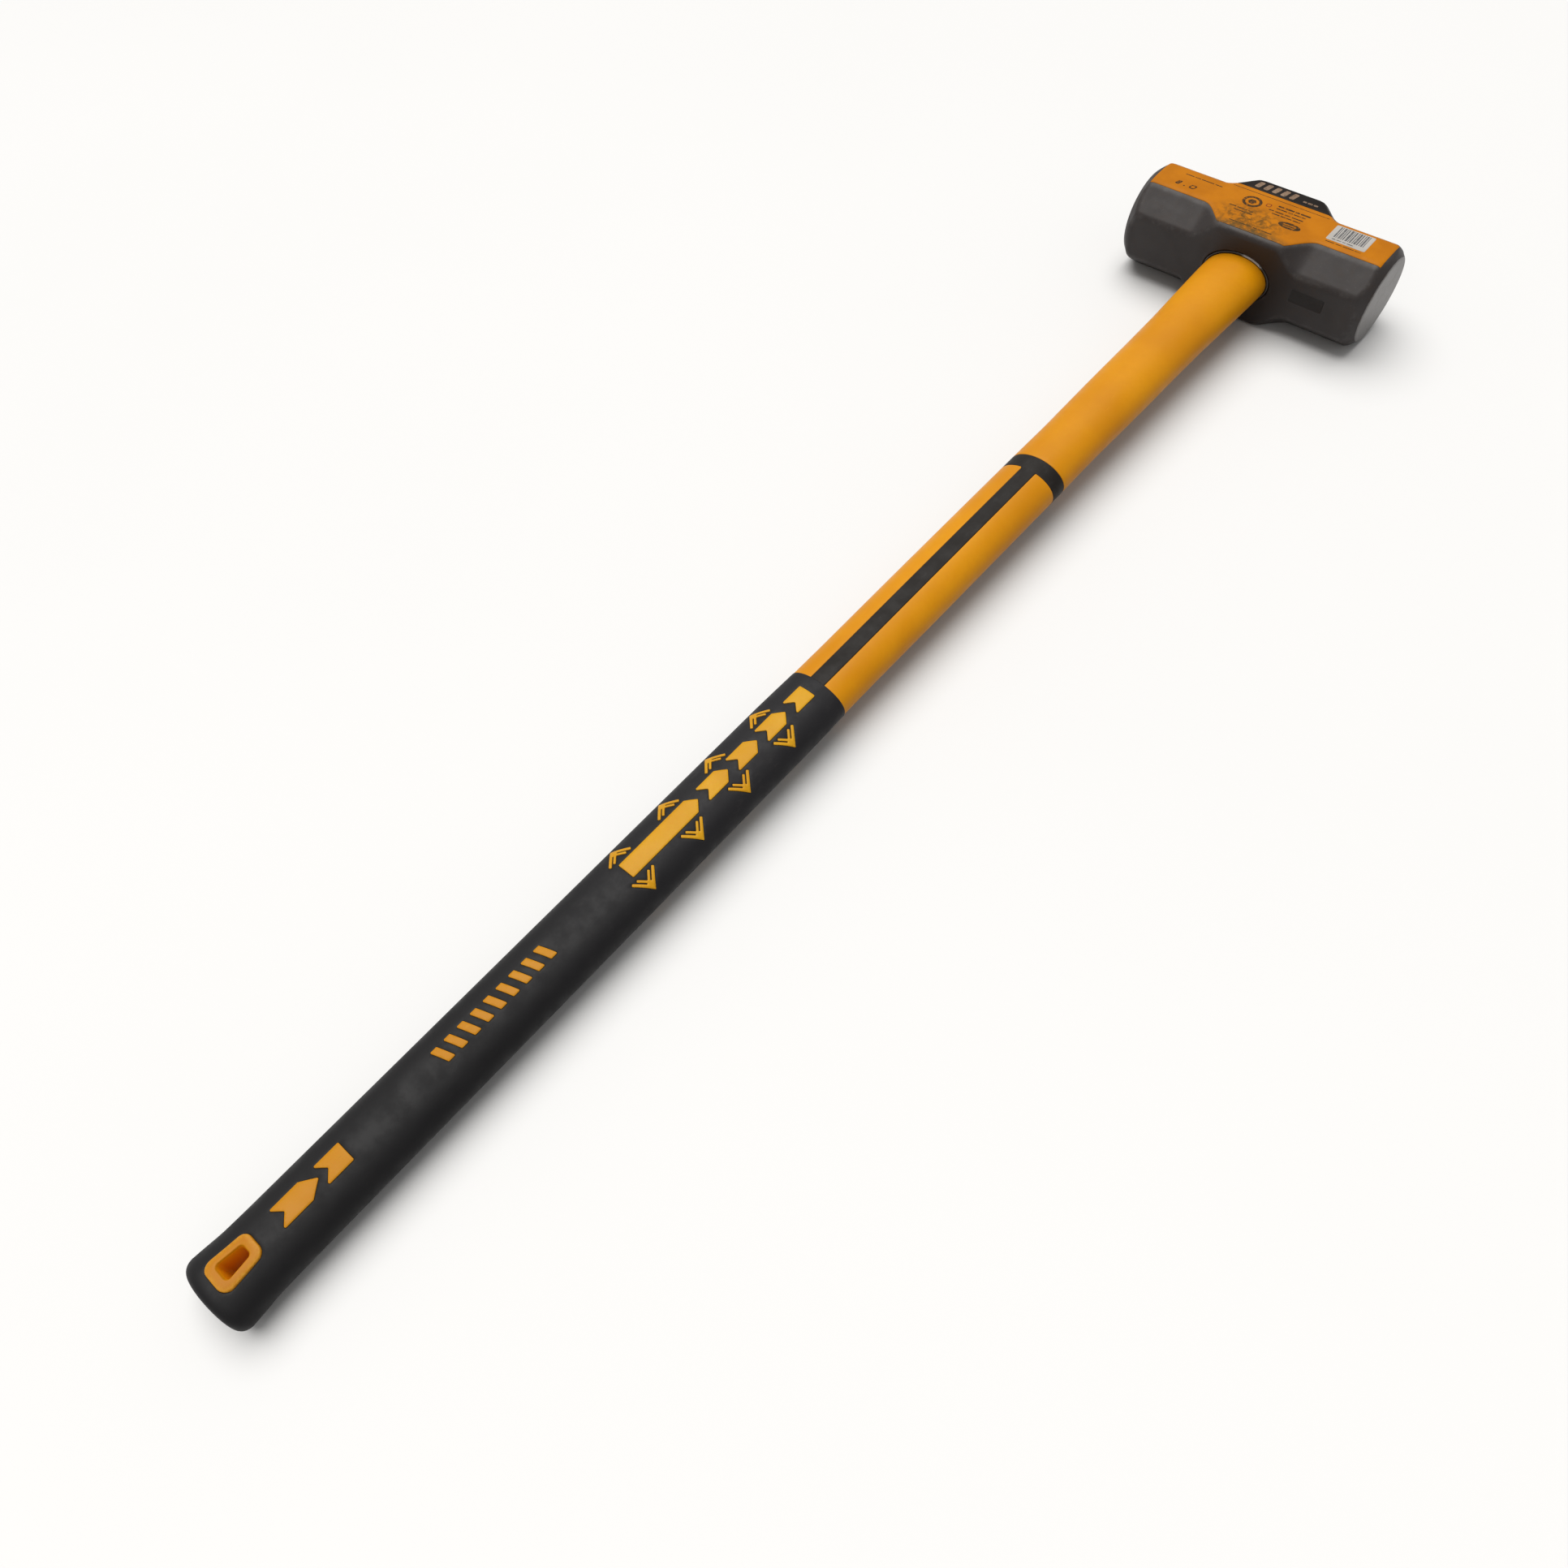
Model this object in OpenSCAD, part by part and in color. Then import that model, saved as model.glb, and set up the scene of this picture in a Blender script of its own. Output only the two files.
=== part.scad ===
// Sledgehammer with a forged double-faced head and a fibreglass handle.
// +X points to one striking face, +Y runs from the butt to the head, +Z is up.
// The hammer lies on one cheek; the origin is under the middle of its box.

/* [Overall] */
// Length from the butt of the handle to the far side of the head
overall_l = 907; // [880:1:930]

/* [Head] */
// Length of the head between its two striking faces
head_l = 173; // [165:1:185]
// Width of the head along the handle
head_w = 60; // [58:0.5:64]
// Height of the head between its two cheeks
head_h = 59; // [57:0.5:62]
// Flat strip left on each cheek between the long chamfers
cheek_flat = 26; // [22:0.5:30]
// Flat strip left on the handle side and the far side
side_flat = 30; // [26:0.5:34]
// Radius of the flat striking face inside its bevel
face_r = 26; // [22:0.5:28]
// Length of the square block round the eye, at its full section
block_l = 30; // [24:1:40]
// Length over which a chamfer runs out into the block
runout_l = 26; // [18:1:30]
// Rounding of the block's long edges
block_edge_r = 4; // [2:0.5:6]
// Depth of the stamped panel on the handle side
stamp_depth = 0.4; // [0.2:0.1:1]

/* [Eye] */
// Length of the oval eye along the head
eye_l = 47; // [46:0.5:49]
// Width of the oval eye across the cheeks
eye_w = 32.4; // [32:0.2:34]
// Depth of resin over the end of the handle at the far side
resin_cover = 3; // [1:0.5:5]

/* [Handle] */
// Length of the fibreglass core's oval section
core_l = 26; // [20:1:28]
// Thickness of the fibreglass core's oval section
core_w = 15; // [12:1:16]
// Height of the handle's oval section as a share of its width
oval_ratio = 0.667; // [0.64:0.001:0.7]
// Half the width of the yellow jacket where it enters the eye
mouth_half = 22.3; // [21.8:0.1:22.8]
// Half the width of the yellow jacket between the grip and the ring
jacket_half = 19; // [18.5:0.1:19.4]
// Width of the straight rubber stripe
stripe_w = 9.6; // [8:0.2:11]
// Depth of the groove that holds the stripe and the ring
groove_depth = 1.2; // [0.8:0.1:1.6]

/* [Grip] */
// Distance from the middle of the head to the top of the grip
grip_start = 464.5; // [455:0.5:470]
// Half the width of the rubber grip
grip_half = 19.55; // [19.4:0.05:20]
// Half the width of the grip at its flared butt
butt_half = 21; // [20.2:0.1:21.2]
// Thickness of the rubber
rubber_t = 2.3; // [2:0.1:2.5]
// Height by which the yellow lands stand proud of the rubber
land_proud = 0.3; // [0.2:0.1:0.5]
// Spacing of the pointed arrows along the grip
arrow_pitch = 23; // [22:0.5:24]
// Spacing of the chevrons along the grip
chevron_pitch = 35.8; // [34:0.2:37]

/* [Labels] */
// Thickness of the paper label on the upper cheek
label_t = 0.3; // [0.2:0.1:0.5]
// Bare margin between the label and the edges of the cheek
label_margin = 0.6; // [0.4:0.1:1.5]

/* [Hidden] */

// Frame of the assembly
eye_y = overall_l / 2 - head_w / 2;
axis_z = head_h / 2;
butt_d = overall_l - head_w / 2;
through = 1;

// Head section and chamfers
chamfer_w = (head_w - cheek_flat) / 2;
chamfer_h = (head_h - side_flat) / 2;
chamfer_tilt = atan2(chamfer_w, chamfer_h);
chamfer_n = cheek_flat / 2 * cos(chamfer_tilt) + head_h / 2 * sin(chamfer_tilt);
corner_n = head_w / 2 * cos(chamfer_tilt) + head_h / 2 * sin(chamfer_tilt);
runout_steps = 10;
bar_reach = 50;

// Stamped panel on the handle side
stamp_x = 50;
stamp_z = 2;
stamp_size = [23, 9];

// Handle sections
oval_sides = 44;
jacket_in_eye = 2;
tenon_half = 19.5;
under_grip_half = grip_half - rubber_t;
grip_end = butt_d - 36;
ring_start = 257.5;
ring_l = 11.3;
butt_wall = 5;

// Half widths along the exposed jacket, by distance from the middle of the head
JACKET_OUTLINE = [
    [head_w / 2 - jacket_in_eye, mouth_half], [45, 22.1], [62, 21.6], [80, 21], [100, 20.3],
    [130, 19.9], [170, 19.7], [200, 19.3], [225, 18.9], [ring_start, 19.1],
    [300, 19.1], [380, jacket_half], [440, 18.7], [grip_start, 18.8]
];
// Half widths along the grip, from the jacket's size up to its own
GRIP_OUTLINE = [
    [grip_start, 19], [grip_start + 14, 19.3], [grip_start + 30, grip_half],
    [grip_end, grip_half - 0.1]
];
// Half widths along the butt, flaring and then closing in a shallow dome
BUTT_OUTLINE = [
    [grip_end, grip_half - 0.1], [butt_d - 22, grip_half + 0.15],
    [butt_d - 15, butt_half - 0.6], [butt_d - 9, butt_half - 0.1], [butt_d - 5, butt_half],
    [butt_d - 3.2, butt_half - 0.4], [butt_d - 2, butt_half - 1.4],
    [butt_d - 1.1, butt_half - 3.6], [butt_d - 0.5, butt_half - 7.5], [butt_d, 2]
];

// Lands in the grip
arrow_half = 5.3;
butt_arrow_half = 5.9;
arrow_point = 5.4;
butt_arrow_point = 7.8;
arrow_notch = 5.2;
flag_l = 15.2;
arrow_l = 20.4;
butt_arrow_l = 24.5;
long_arrow_l = 53.5;
first_flag_d = 473;
first_arrow_d = 491;
arrow_count = 3;
butt_flag_d = 794.5;
butt_arrow_d = 810;
chevron_d = 502.3;
chevron_count = 4;
bars_d = 666;
bar_count = 9;
bar_pitch = 8.3;
bar_w = 4.2;
bar_lean = 3.4;
bar_half = 5;
land_floor = 2;

// Hang hole
hole_d = 857;
hole_l = 12.5;
hole_w_head = 5.6;
hole_w_butt = 8.4;
eyelet_l = 23;
eyelet_w_head = 14;
eyelet_w_butt = 18.4;
eyelet_proud = 1;

// Labels
band_y = 15.8;
band_gap = 0.6;
block_label_half = 27;
label_end = 81.5;
sticker_size = [26, 16.4];
sticker_pos = [54, 1.7];
sticker_t = 0.15;
outline_step = 2;

// Points of an oval section, half as wide as half_x, at a distance d along the handle
function oval_ring(half_x, half_y, d) = [
    for (i = [0 : oval_sides - 1])
        [half_x * cos(i * 360 / oval_sides), half_y * sin(i * 360 / oval_sides), d]
];
function oval(half_x, half_y) = [
    for (i = [0 : oval_sides - 1])
        [half_x * cos(i * 360 / oval_sides), half_y * sin(i * 360 / oval_sides)]
];
// Smooth step from 0 to 1
function ease(t) = let (u = min(max(t, 0), 1)) u * u * (3 - 2 * u);
// Distance of the chamfer surface from the head's axis at x along the head
function chamfer_at(x) =
    chamfer_n + (corner_n + through - chamfer_n) * ease((block_l / 2 + runout_l - x) / runout_l);
// Half width of the flat cheek at x along the head
function cheek_half(x) = min(
    block_label_half,
    (chamfer_at(abs(x)) - head_h / 2 * sin(chamfer_tilt)) / cos(chamfer_tilt)
);

// Puts a piece drawn round the handle's axis in place: local z is the distance from
// the middle of the head towards the butt, and local y is up
module along_handle() {
    translate([0, eye_y, axis_z])
        rotate([90, 0, 0])
            children();
}

// Solid through oval sections given as [distance, half width], grown or shrunk by grow
module oval_loft(outline, grow = 0) {
    rings = len(outline);
    points = [
        for (s = outline)
            each oval_ring(s[1] + grow, s[1] * oval_ratio + grow, s[0])
    ];
    polyhedron(
        points,
        [
            [for (i = [0 : oval_sides - 1]) i],
            [for (i = [0 : oval_sides - 1]) rings * oval_sides - 1 - i],
            for (r = [0 : rings - 2])
                for (i = [0 : oval_sides - 1])
                    let (j = (i + 1) % oval_sides, a = r * oval_sides, b = a + oval_sides)
                        each [[a + i, b + i, a + j], [a + j, b + i, b + j]]
        ]
    );
}

// Straight oval bar from one distance to another
module oval_bar(half_x, half_y, from, to) {
    translate([0, 0, from])
        linear_extrude(to - from)
            polygon(oval(half_x, half_y));
}

// Raises a flat shape, drawn as [x, distance], through both broad sides of the handle
module both_sides(from, to) {
    for (side = [0, 1])
        mirror([0, side, 0])
            rotate([90, 0, 0])
                translate([0, 0, from])
                    linear_extrude(to - from)
                        children();
}

// Square bar with rounded long edges, lying along X
module block_bar() {
    rotate([90, 0, 90])
        linear_extrude(head_l + 2 * through, center = true) {
            square([head_w - 2 * block_edge_r, head_h], center = true);
            square([head_w, head_h - 2 * block_edge_r], center = true);
            for (sy = [-1, 1])
                for (sz = [-1, 1])
                    translate([sy * (head_w / 2 - block_edge_r), sz * (head_h / 2 - block_edge_r)])
                        circle(block_edge_r, $fn = 48);
        }
}

// Cutter for one long chamfer at one end, with its curved run-out into the block
module chamfer_cutter() {
    rotate([chamfer_tilt, 0, 0])
        linear_extrude(head_w, center = true)
            polygon([
                for (i = [0 : runout_steps])
                    let (x = block_l / 2 + runout_l * i / runout_steps)
                        [x, chamfer_at(x)],
                [head_l, chamfer_n],
                [head_l, bar_reach],
                [block_l / 2, bar_reach]
            ]);
}

// Turned envelope that bevels both striking faces
module face_envelope() {
    bevel = bar_reach - face_r;
    rotate([0, 90, 0])
        rotate_extrude($fn = 96)
            polygon([
                [0, -head_l / 2], [face_r, -head_l / 2], [bar_reach, -head_l / 2 + bevel],
                [bar_reach, head_l / 2 - bevel], [face_r, head_l / 2], [0, head_l / 2]
            ]);
}

module hammer_head() {
    color([0.20, 0.185, 0.18])
        translate([0, eye_y, axis_z])
            difference() {
                intersection() {
                    block_bar();
                    face_envelope();
                }
                for (mx = [0, 1])
                    for (my = [0, 1])
                        for (mz = [0, 1])
                            mirror([mx, 0, 0])
                                mirror([0, my, 0])
                                    mirror([0, 0, mz])
                                        chamfer_cutter();
                rotate([90, 0, 0])
                    oval_bar(eye_l / 2, eye_w / 2, -head_w, head_w);
                translate([stamp_x, -head_w / 2, stamp_z])
                    cube([stamp_size[0], 2 * stamp_depth, stamp_size[1]], center = true);
            }
}

module eye_resin() {
    color([0.62, 0.58, 0.50])
        along_handle()
            difference() {
                oval_bar(eye_l / 2, eye_w / 2, through - head_w / 2, head_w / 2 - jacket_in_eye);
                oval_bar(
                    tenon_half, tenon_half * oval_ratio,
                    resin_cover - head_w / 2, head_w / 2
                );
            }
}

module neck_bead() {
    color([0.72, 0.70, 0.67])
        along_handle()
            difference() {
                oval_bar(
                    eye_l / 2, eye_w / 2,
                    head_w / 2 - jacket_in_eye, head_w / 2 + 0.7
                );
                oval_loft([
                    [head_w / 2 - jacket_in_eye - through, mouth_half + 0.02],
                    [head_w / 2 + 2 * through, mouth_half + 0.02]
                ]);
            }
}

module fibreglass_core() {
    color([0.80, 0.76, 0.62])
        along_handle()
            oval_bar(core_l / 2, core_w / 2, resin_cover - head_w / 2, grip_end);
}

// Jacket surface over the exposed part, grown or shrunk by grow
module jacket_skin(grow = 0) {
    oval_loft(JACKET_OUTLINE, grow);
}

module handle_jacket() {
    color([0.93, 0.62, 0.13])
        along_handle()
            difference() {
                union() {
                    oval_bar(
                        tenon_half, tenon_half * oval_ratio,
                        resin_cover - head_w / 2, head_w / 2
                    );
                    jacket_skin();
                    under_rubber(grip_start - through, grip_end);
                }
                oval_bar(core_l / 2, core_w / 2, -head_w, butt_d);
                difference() {
                    translate([0, 0, ring_start])
                        linear_extrude(ring_l)
                            square(4 * mouth_half, center = true);
                    jacket_skin(-groove_depth);
                }
                difference() {
                    translate([0, 0, ring_start + ring_l])
                        linear_extrude(grip_start - ring_start - ring_l)
                            square([stripe_w, 4 * mouth_half], center = true);
                    jacket_skin(-groove_depth);
                }
            }
}

module rubber_ring() {
    color([0.16, 0.15, 0.16])
        along_handle()
            intersection() {
                difference() {
                    jacket_skin();
                    jacket_skin(-groove_depth);
                }
                translate([0, 0, ring_start])
                    linear_extrude(ring_l)
                        square(4 * mouth_half, center = true);
            }
}

module rubber_stripe() {
    color([0.16, 0.15, 0.16])
        along_handle()
            intersection() {
                difference() {
                    jacket_skin();
                    jacket_skin(-groove_depth);
                }
                translate([0, 0, ring_start + ring_l])
                    linear_extrude(grip_start - ring_start - ring_l)
                        square([stripe_w, 4 * mouth_half], center = true);
            }
}

// Arrow with a notched tail, its tip at the origin and its body towards the butt
module pointed_arrow(half_w, point, total) {
    polygon([
        [0, 0], [half_w, point], [half_w, total],
        [0, total - arrow_notch], [-half_w, total], [-half_w, point]
    ]);
}

// The same arrow with a square front end
module flag_arrow(half_w) {
    polygon([
        [-half_w, 0], [half_w, 0], [half_w, flag_l],
        [0, flag_l - arrow_notch], [-half_w, flag_l]
    ]);
}

// Every arrow on one broad side of the grip
module arrow_shapes() {
    translate([0, first_flag_d])
        flag_arrow(arrow_half);
    for (i = [0 : arrow_count - 1])
        translate([0, first_arrow_d + i * arrow_pitch])
            pointed_arrow(arrow_half, arrow_point, arrow_l);
    translate([0, first_arrow_d + arrow_count * arrow_pitch])
        polygon([
            [0, 0], [arrow_half, arrow_point], [arrow_half, long_arrow_l],
            [-arrow_half, long_arrow_l], [-arrow_half, arrow_point]
        ]);
    translate([0, butt_flag_d])
        flag_arrow(butt_arrow_half);
    translate([0, butt_arrow_d])
        pointed_arrow(butt_arrow_half, butt_arrow_point, butt_arrow_l);
}

// One forked chevron, its point away from the grip's middle line
module chevron() {
    upper = [
        [16.2, 0], [8.2, 8], [7.1, 6.9], [12.3, 1.6], [11.8, 1.1],
        [8.3, 4.7], [7.3, 3.8], [11.1, 0]
    ];
    polygon([
        each upper,
        for (i = [len(upper) - 2 : -1 : 1])
            [upper[i][0], -upper[i][1]]
    ]);
}

// The four pairs of chevrons on one broad side of the grip
module chevron_shapes() {
    for (i = [0 : chevron_count - 1])
        translate([0, chevron_d + i * chevron_pitch])
            for (side = [0, 1])
                mirror([side, 0, 0])
                    chevron();
}

// A plain row of slanted bars on one broad side of the grip
module bar_shapes() {
    for (i = [0 : bar_count - 1])
        translate([0, bars_d + i * bar_pitch])
            polygon([
                [-bar_half, bar_lean], [bar_half, 0],
                [bar_half, bar_w], [-bar_half, bar_lean + bar_w]
            ]);
}

// Trapezoid, wider towards the butt, centred on the hang hole
module trapezoid(w_head, w_butt, l) {
    polygon([
        [-w_head / 2, -l / 2], [w_head / 2, -l / 2],
        [w_butt / 2, l / 2], [-w_butt / 2, l / 2]
    ]);
}

module eyelet_outline() {
    translate([0, hole_d])
        trapezoid(eyelet_w_head, eyelet_w_butt, eyelet_l);
}

// Oval solid that fills the rubber's bore from one distance to another
module under_rubber(from, to) {
    oval_bar(under_grip_half, grip_half * oval_ratio - rubber_t, from, to);
}

module rubber_grip() {
    color([0.17, 0.16, 0.17])
        along_handle()
            difference() {
                oval_loft(GRIP_OUTLINE);
                under_rubber(grip_start - through, butt_d);
                both_sides(land_floor, head_w) {
                    arrow_shapes();
                    chevron_shapes();
                    bar_shapes();
                }
            }
}

module rubber_butt() {
    color([0.17, 0.16, 0.17])
        along_handle()
            difference() {
                oval_loft(BUTT_OUTLINE);
                under_rubber(grip_start, butt_d - butt_wall);
                both_sides(-head_w, head_w)
                    eyelet_outline();
            }
}

// Yellow lands: the flat shapes, from the jacket's surface to just above the rubber
module lands() {
    along_handle()
        difference() {
            intersection() {
                both_sides(land_floor, head_w)
                    children();
                oval_loft(GRIP_OUTLINE, land_proud);
            }
            under_rubber(grip_start - through, butt_d);
        }
}

module arrow_lands() {
    color([0.95, 0.70, 0.25])
        lands()
            arrow_shapes();
}

module chevron_lands() {
    color([0.95, 0.70, 0.25])
        lands()
            chevron_shapes();
}

module bar_lands() {
    color([0.95, 0.70, 0.25])
        lands()
            bar_shapes();
}

// Yellow plug that closes the core and the jacket, with the raised rim of the hang hole
module butt_plug() {
    color([0.93, 0.62, 0.13])
        along_handle()
            difference() {
                union() {
                    under_rubber(grip_end, butt_d - butt_wall);
                    intersection() {
                        both_sides(-head_w, head_w)
                            eyelet_outline();
                        oval_loft(BUTT_OUTLINE, eyelet_proud);
                    }
                }
                both_sides(-head_w, head_w)
                    translate([0, hole_d])
                        trapezoid(hole_w_head, hole_w_butt, hole_l);
            }
}

// Outline of the flat cheek between x = -end and x = end, from front to back
module cheek_outline(end, front, back) {
    steps = ceil(end / outline_step);
    xs = [for (i = [-steps : steps]) end * i / steps];
    polygon([
        for (x = xs)
            [x, max(front, label_margin - cheek_half(x))],
        for (i = [len(xs) - 1 : -1 : 0])
            [xs[i], min(back, cheek_half(xs[i]) - label_margin)]
    ]);
}

module cheek_label() {
    color([0.94, 0.58, 0.13])
        translate([0, eye_y, head_h])
            linear_extrude(label_t)
                cheek_outline(label_end, -head_w, band_y);
}

module title_band() {
    band_end = block_l / 2 + runout_l * 0.78;
    color([0.13, 0.12, 0.12])
        translate([0, eye_y, head_h])
            linear_extrude(label_t)
                intersection() {
                    cheek_outline(band_end, -head_w, head_w);
                    translate([-band_end, band_y + band_gap])
                        square([2 * band_end, head_w]);
                }
}

module barcode_sticker() {
    color([0.88, 0.88, 0.86])
        translate([sticker_pos[0], eye_y + sticker_pos[1], head_h + label_t])
            linear_extrude(sticker_t)
                square(sticker_size, center = true);
}

hammer_head();
eye_resin();
neck_bead();
fibreglass_core();
handle_jacket();
rubber_ring();
rubber_stripe();
rubber_grip();
rubber_butt();
arrow_lands();
chevron_lands();
bar_lands();
butt_plug();
cheek_label();
title_band();
barcode_sticker();
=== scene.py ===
import math

import bmesh
import bpy
import numpy as np
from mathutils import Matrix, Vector, noise
from mathutils.geometry import delaunay_2d_cdt


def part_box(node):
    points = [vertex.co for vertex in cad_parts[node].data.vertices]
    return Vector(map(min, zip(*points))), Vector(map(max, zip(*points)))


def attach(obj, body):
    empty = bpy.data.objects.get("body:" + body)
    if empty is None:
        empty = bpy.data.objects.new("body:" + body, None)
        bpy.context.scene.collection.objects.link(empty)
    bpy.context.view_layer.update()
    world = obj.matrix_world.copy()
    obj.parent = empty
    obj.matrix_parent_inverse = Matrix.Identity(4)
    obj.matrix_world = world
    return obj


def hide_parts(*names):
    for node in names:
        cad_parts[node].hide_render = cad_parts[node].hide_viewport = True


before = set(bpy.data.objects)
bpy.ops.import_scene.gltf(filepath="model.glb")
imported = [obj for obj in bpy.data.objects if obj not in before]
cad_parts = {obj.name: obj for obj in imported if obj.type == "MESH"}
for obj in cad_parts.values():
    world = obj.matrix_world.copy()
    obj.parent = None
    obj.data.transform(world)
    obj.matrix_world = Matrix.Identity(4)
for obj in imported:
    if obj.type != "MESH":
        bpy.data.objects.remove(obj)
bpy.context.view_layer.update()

# Shapes are worked out in millimetres round the middle of the head: x to the striking
# face, y away from the butt, z up. Along the handle, d is the distance from the middle
# of the head towards the butt, so y = -d.
MM = 0.001


def node_box(node):
    """Lowest and highest corner of a CAD node, in millimetres."""
    low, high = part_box(node)
    return np.array(low) / MM, np.array(high) / MM


head_low, head_high = node_box("hammer_head")
HEAD_MID = (head_low + head_high) / 2
HALF_L, HALF_W, HALF_H = (head_high - head_low) / 2


def along(node):
    """Where a node of the handle starts and ends, as distances d."""
    low, high = node_box(node)
    return HEAD_MID[1] - high[1], HEAD_MID[1] - low[1]


# ---------- mesh tools

WELD = 0.002


def mesh_from(name, points, faces):
    """A mesh from points in millimetres round the middle of the head."""
    mesh = bpy.data.meshes.new(name)
    mesh.from_pydata(((np.array(points, float) + HEAD_MID) * MM).tolist(), [], [list(f) for f in faces])
    return mesh


def link_mesh(name, mesh):
    made = bpy.data.objects.new(name, mesh)
    bpy.context.scene.collection.objects.link(made)
    return made


def turn_faces_out(mesh, weld=False):
    work = bmesh.new()
    work.from_mesh(mesh)
    if weld:
        bmesh.ops.remove_doubles(work, verts=work.verts, dist=WELD * MM)
    bmesh.ops.recalc_face_normals(work, faces=work.faces)
    work.to_mesh(mesh)
    work.free()


def write_values(mesh, name, values):
    """Keeps one number per point, for the materials to read."""
    layer = mesh.attributes.get(name) or mesh.attributes.new(name, "FLOAT", "POINT")
    layer.data.foreach_set("value", np.array(values, np.float32))


def read_points(mesh):
    """The points of a mesh, in millimetres round the middle of the head."""
    place = np.zeros(len(mesh.vertices) * 3)
    mesh.vertices.foreach_get("co", place)
    return place.reshape(-1, 3) / MM - HEAD_MID


def make_piece(name, points, faces, materials, replaces, wear=None, face_materials=None,
               sharp_deg=38, weld=True):
    """A piece of the hammer, which rides on its one body and stands for CAD nodes."""
    mesh = mesh_from(name, points, faces)
    for material in materials:
        mesh.materials.append(material)
    if face_materials is not None:
        mesh.polygons.foreach_set("material_index", face_materials)
    if wear is not None:
        write_values(mesh, "wear", wear)
    turn_faces_out(mesh, weld)
    finish_shading(mesh, sharp_deg)
    piece = link_mesh(name, mesh)
    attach(piece, "root")
    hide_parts(*replaces)
    return piece


def finish_shading(mesh, sharp_deg):
    mesh.shade_smooth()
    mesh.set_sharp_from_angle(angle=math.radians(sharp_deg))


def grid_faces(rows, columns, close_rows=False, close_columns=True):
    """Quads over a grid of points numbered row by row."""
    faces = []
    for r in range(rows if close_rows else rows - 1):
        below = (r + 1) % rows * columns
        for c in range(columns if close_columns else columns - 1):
            right = (c + 1) % columns
            faces.append((r * columns + c, r * columns + right, below + right, below + c))
    return faces


def strip_between(rings, first):
    """Quads through rings of points that are numbered from first."""
    return [[first + i for i in face] for face in grid_faces(len(rings), len(rings[0]))]


def wall_faces(one, other):
    """Quads between two loops of point numbers with the same count."""
    one, other = np.array(one), np.array(other)
    return np.stack([one, np.roll(one, -1), np.roll(other, -1), other], axis=1).tolist()


def end_faces(rows, columns, first=0):
    """The first and the last ring of a grid, each closed by one face."""
    last = first + (rows - 1) * columns
    return [list(range(first, first + columns)), list(range(last, last + columns))]


def full_turn(count):
    return np.linspace(0, 2 * math.pi, count, endpoint=False)


def lattice(low, high, step):
    """Flat points on a square lattice between two corners."""
    return np.array([(u, v) for u in np.arange(low[0], high[0], step)
                     for v in np.arange(low[1], high[1], step)])


CDT_HAIR = 1e-5


def triangles(points, loops):
    """Triangles over flat points, with every loop of point numbers kept as edges."""
    edges = [(a, b) for loop in loops for a, b in zip(loop, [*loop[1:], loop[0]])]
    flat = [Vector(p) for p in points]
    place, _, found, origins, _, _ = delaunay_2d_cdt(flat, edges, [], 0, CDT_HAIR, True)
    points = np.asarray(points, float)
    nearest = [o[0] if o else int(np.argmin(np.sum((points - np.array(p)) ** 2, axis=1)))
               for o, p in zip(origins, place)]
    kept = [[nearest[i] for i in face] for face in found]
    return np.array([face for face in kept if len(set(face)) == 3])


def inside(outline, points):
    """Which flat points lie inside a closed outline."""
    x, y = np.asarray(points, float).T
    odd = np.zeros(len(x), bool)
    a = np.asarray(outline, float)
    for (x0, y0), (x1, y1) in zip(a, np.roll(a, -1, axis=0)):
        if y0 != y1:
            odd ^= ((y0 > y) != (y1 > y)) & (x < (x1 - x0) * (y - y0) / (y1 - y0) + x0)
    return odd


def filled(outline, border=None):
    """Triangles that fill a flat outline, or the part of it inside a border."""
    found = triangles(outline, [range(len(outline))])
    return found[inside(outline if border is None else border, outline[found].mean(1))]


def away_from(points, outline, gap):
    """The points further than gap from an outline's own points."""
    points = np.asarray(points, float)
    outline = np.asarray(outline, float)
    low, high = outline.min(0) - gap, outline.max(0) + gap
    near = np.all((points > low) & (points < high), axis=1)
    keep = np.ones(len(points), bool)
    if near.any():
        distance = np.linalg.norm(points[near][:, None] - outline[None], axis=2).min(1)
        keep[near] = distance > gap
    return points[keep]


NEARLY_STRAIGHT = math.radians(88)
# Longest run of an edge that the arc at one of its ends may take.
LONGEST_LEG = 0.45


def soften(corners, radius, step=1.0, corner_points=6):
    """Rounds the corners of a polygon with arcs and divides its long edges."""
    corners = [np.array(c, float) for c in corners]
    arcs = []
    for i, corner in enumerate(corners):
        back, on = corners[i - 1] - corner, corners[(i + 1) % len(corners)] - corner
        lengths = np.linalg.norm(back), np.linalg.norm(on)
        back, on = back / lengths[0], on / lengths[1]
        half_angle = math.acos(np.clip(back @ on, -1, 1)) / 2
        if half_angle > NEARLY_STRAIGHT:
            arcs.append([corner])
            continue
        leg = min(radius / math.tan(half_angle), LONGEST_LEG * min(lengths))
        r = leg * math.tan(half_angle)
        middle = (back + on) / np.linalg.norm(back + on)
        centre = corner + middle * r / math.sin(half_angle)
        across = back - middle * (back @ middle)
        across /= np.linalg.norm(across)
        spread = np.linspace(1, -1, corner_points) * (math.pi / 2 - half_angle)
        arcs.append([centre + r * (across * math.sin(a) - middle * math.cos(a)) for a in spread])
    points = []
    for i, arc in enumerate(arcs):
        points += arc
        start, end = arc[-1], arcs[(i + 1) % len(arcs)][0]
        pieces = max(1, int(np.ceil(np.linalg.norm(end - start) / step)))
        points += [start + (end - start) * k / pieces for k in range(1, pieces)]
    return np.array(points)


def turn_counterclockwise(outline):
    x, y = outline.T
    area = np.sum(x * np.roll(y, -1) - np.roll(x, -1) * y)
    return outline if area > 0 else outline[::-1]


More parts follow.
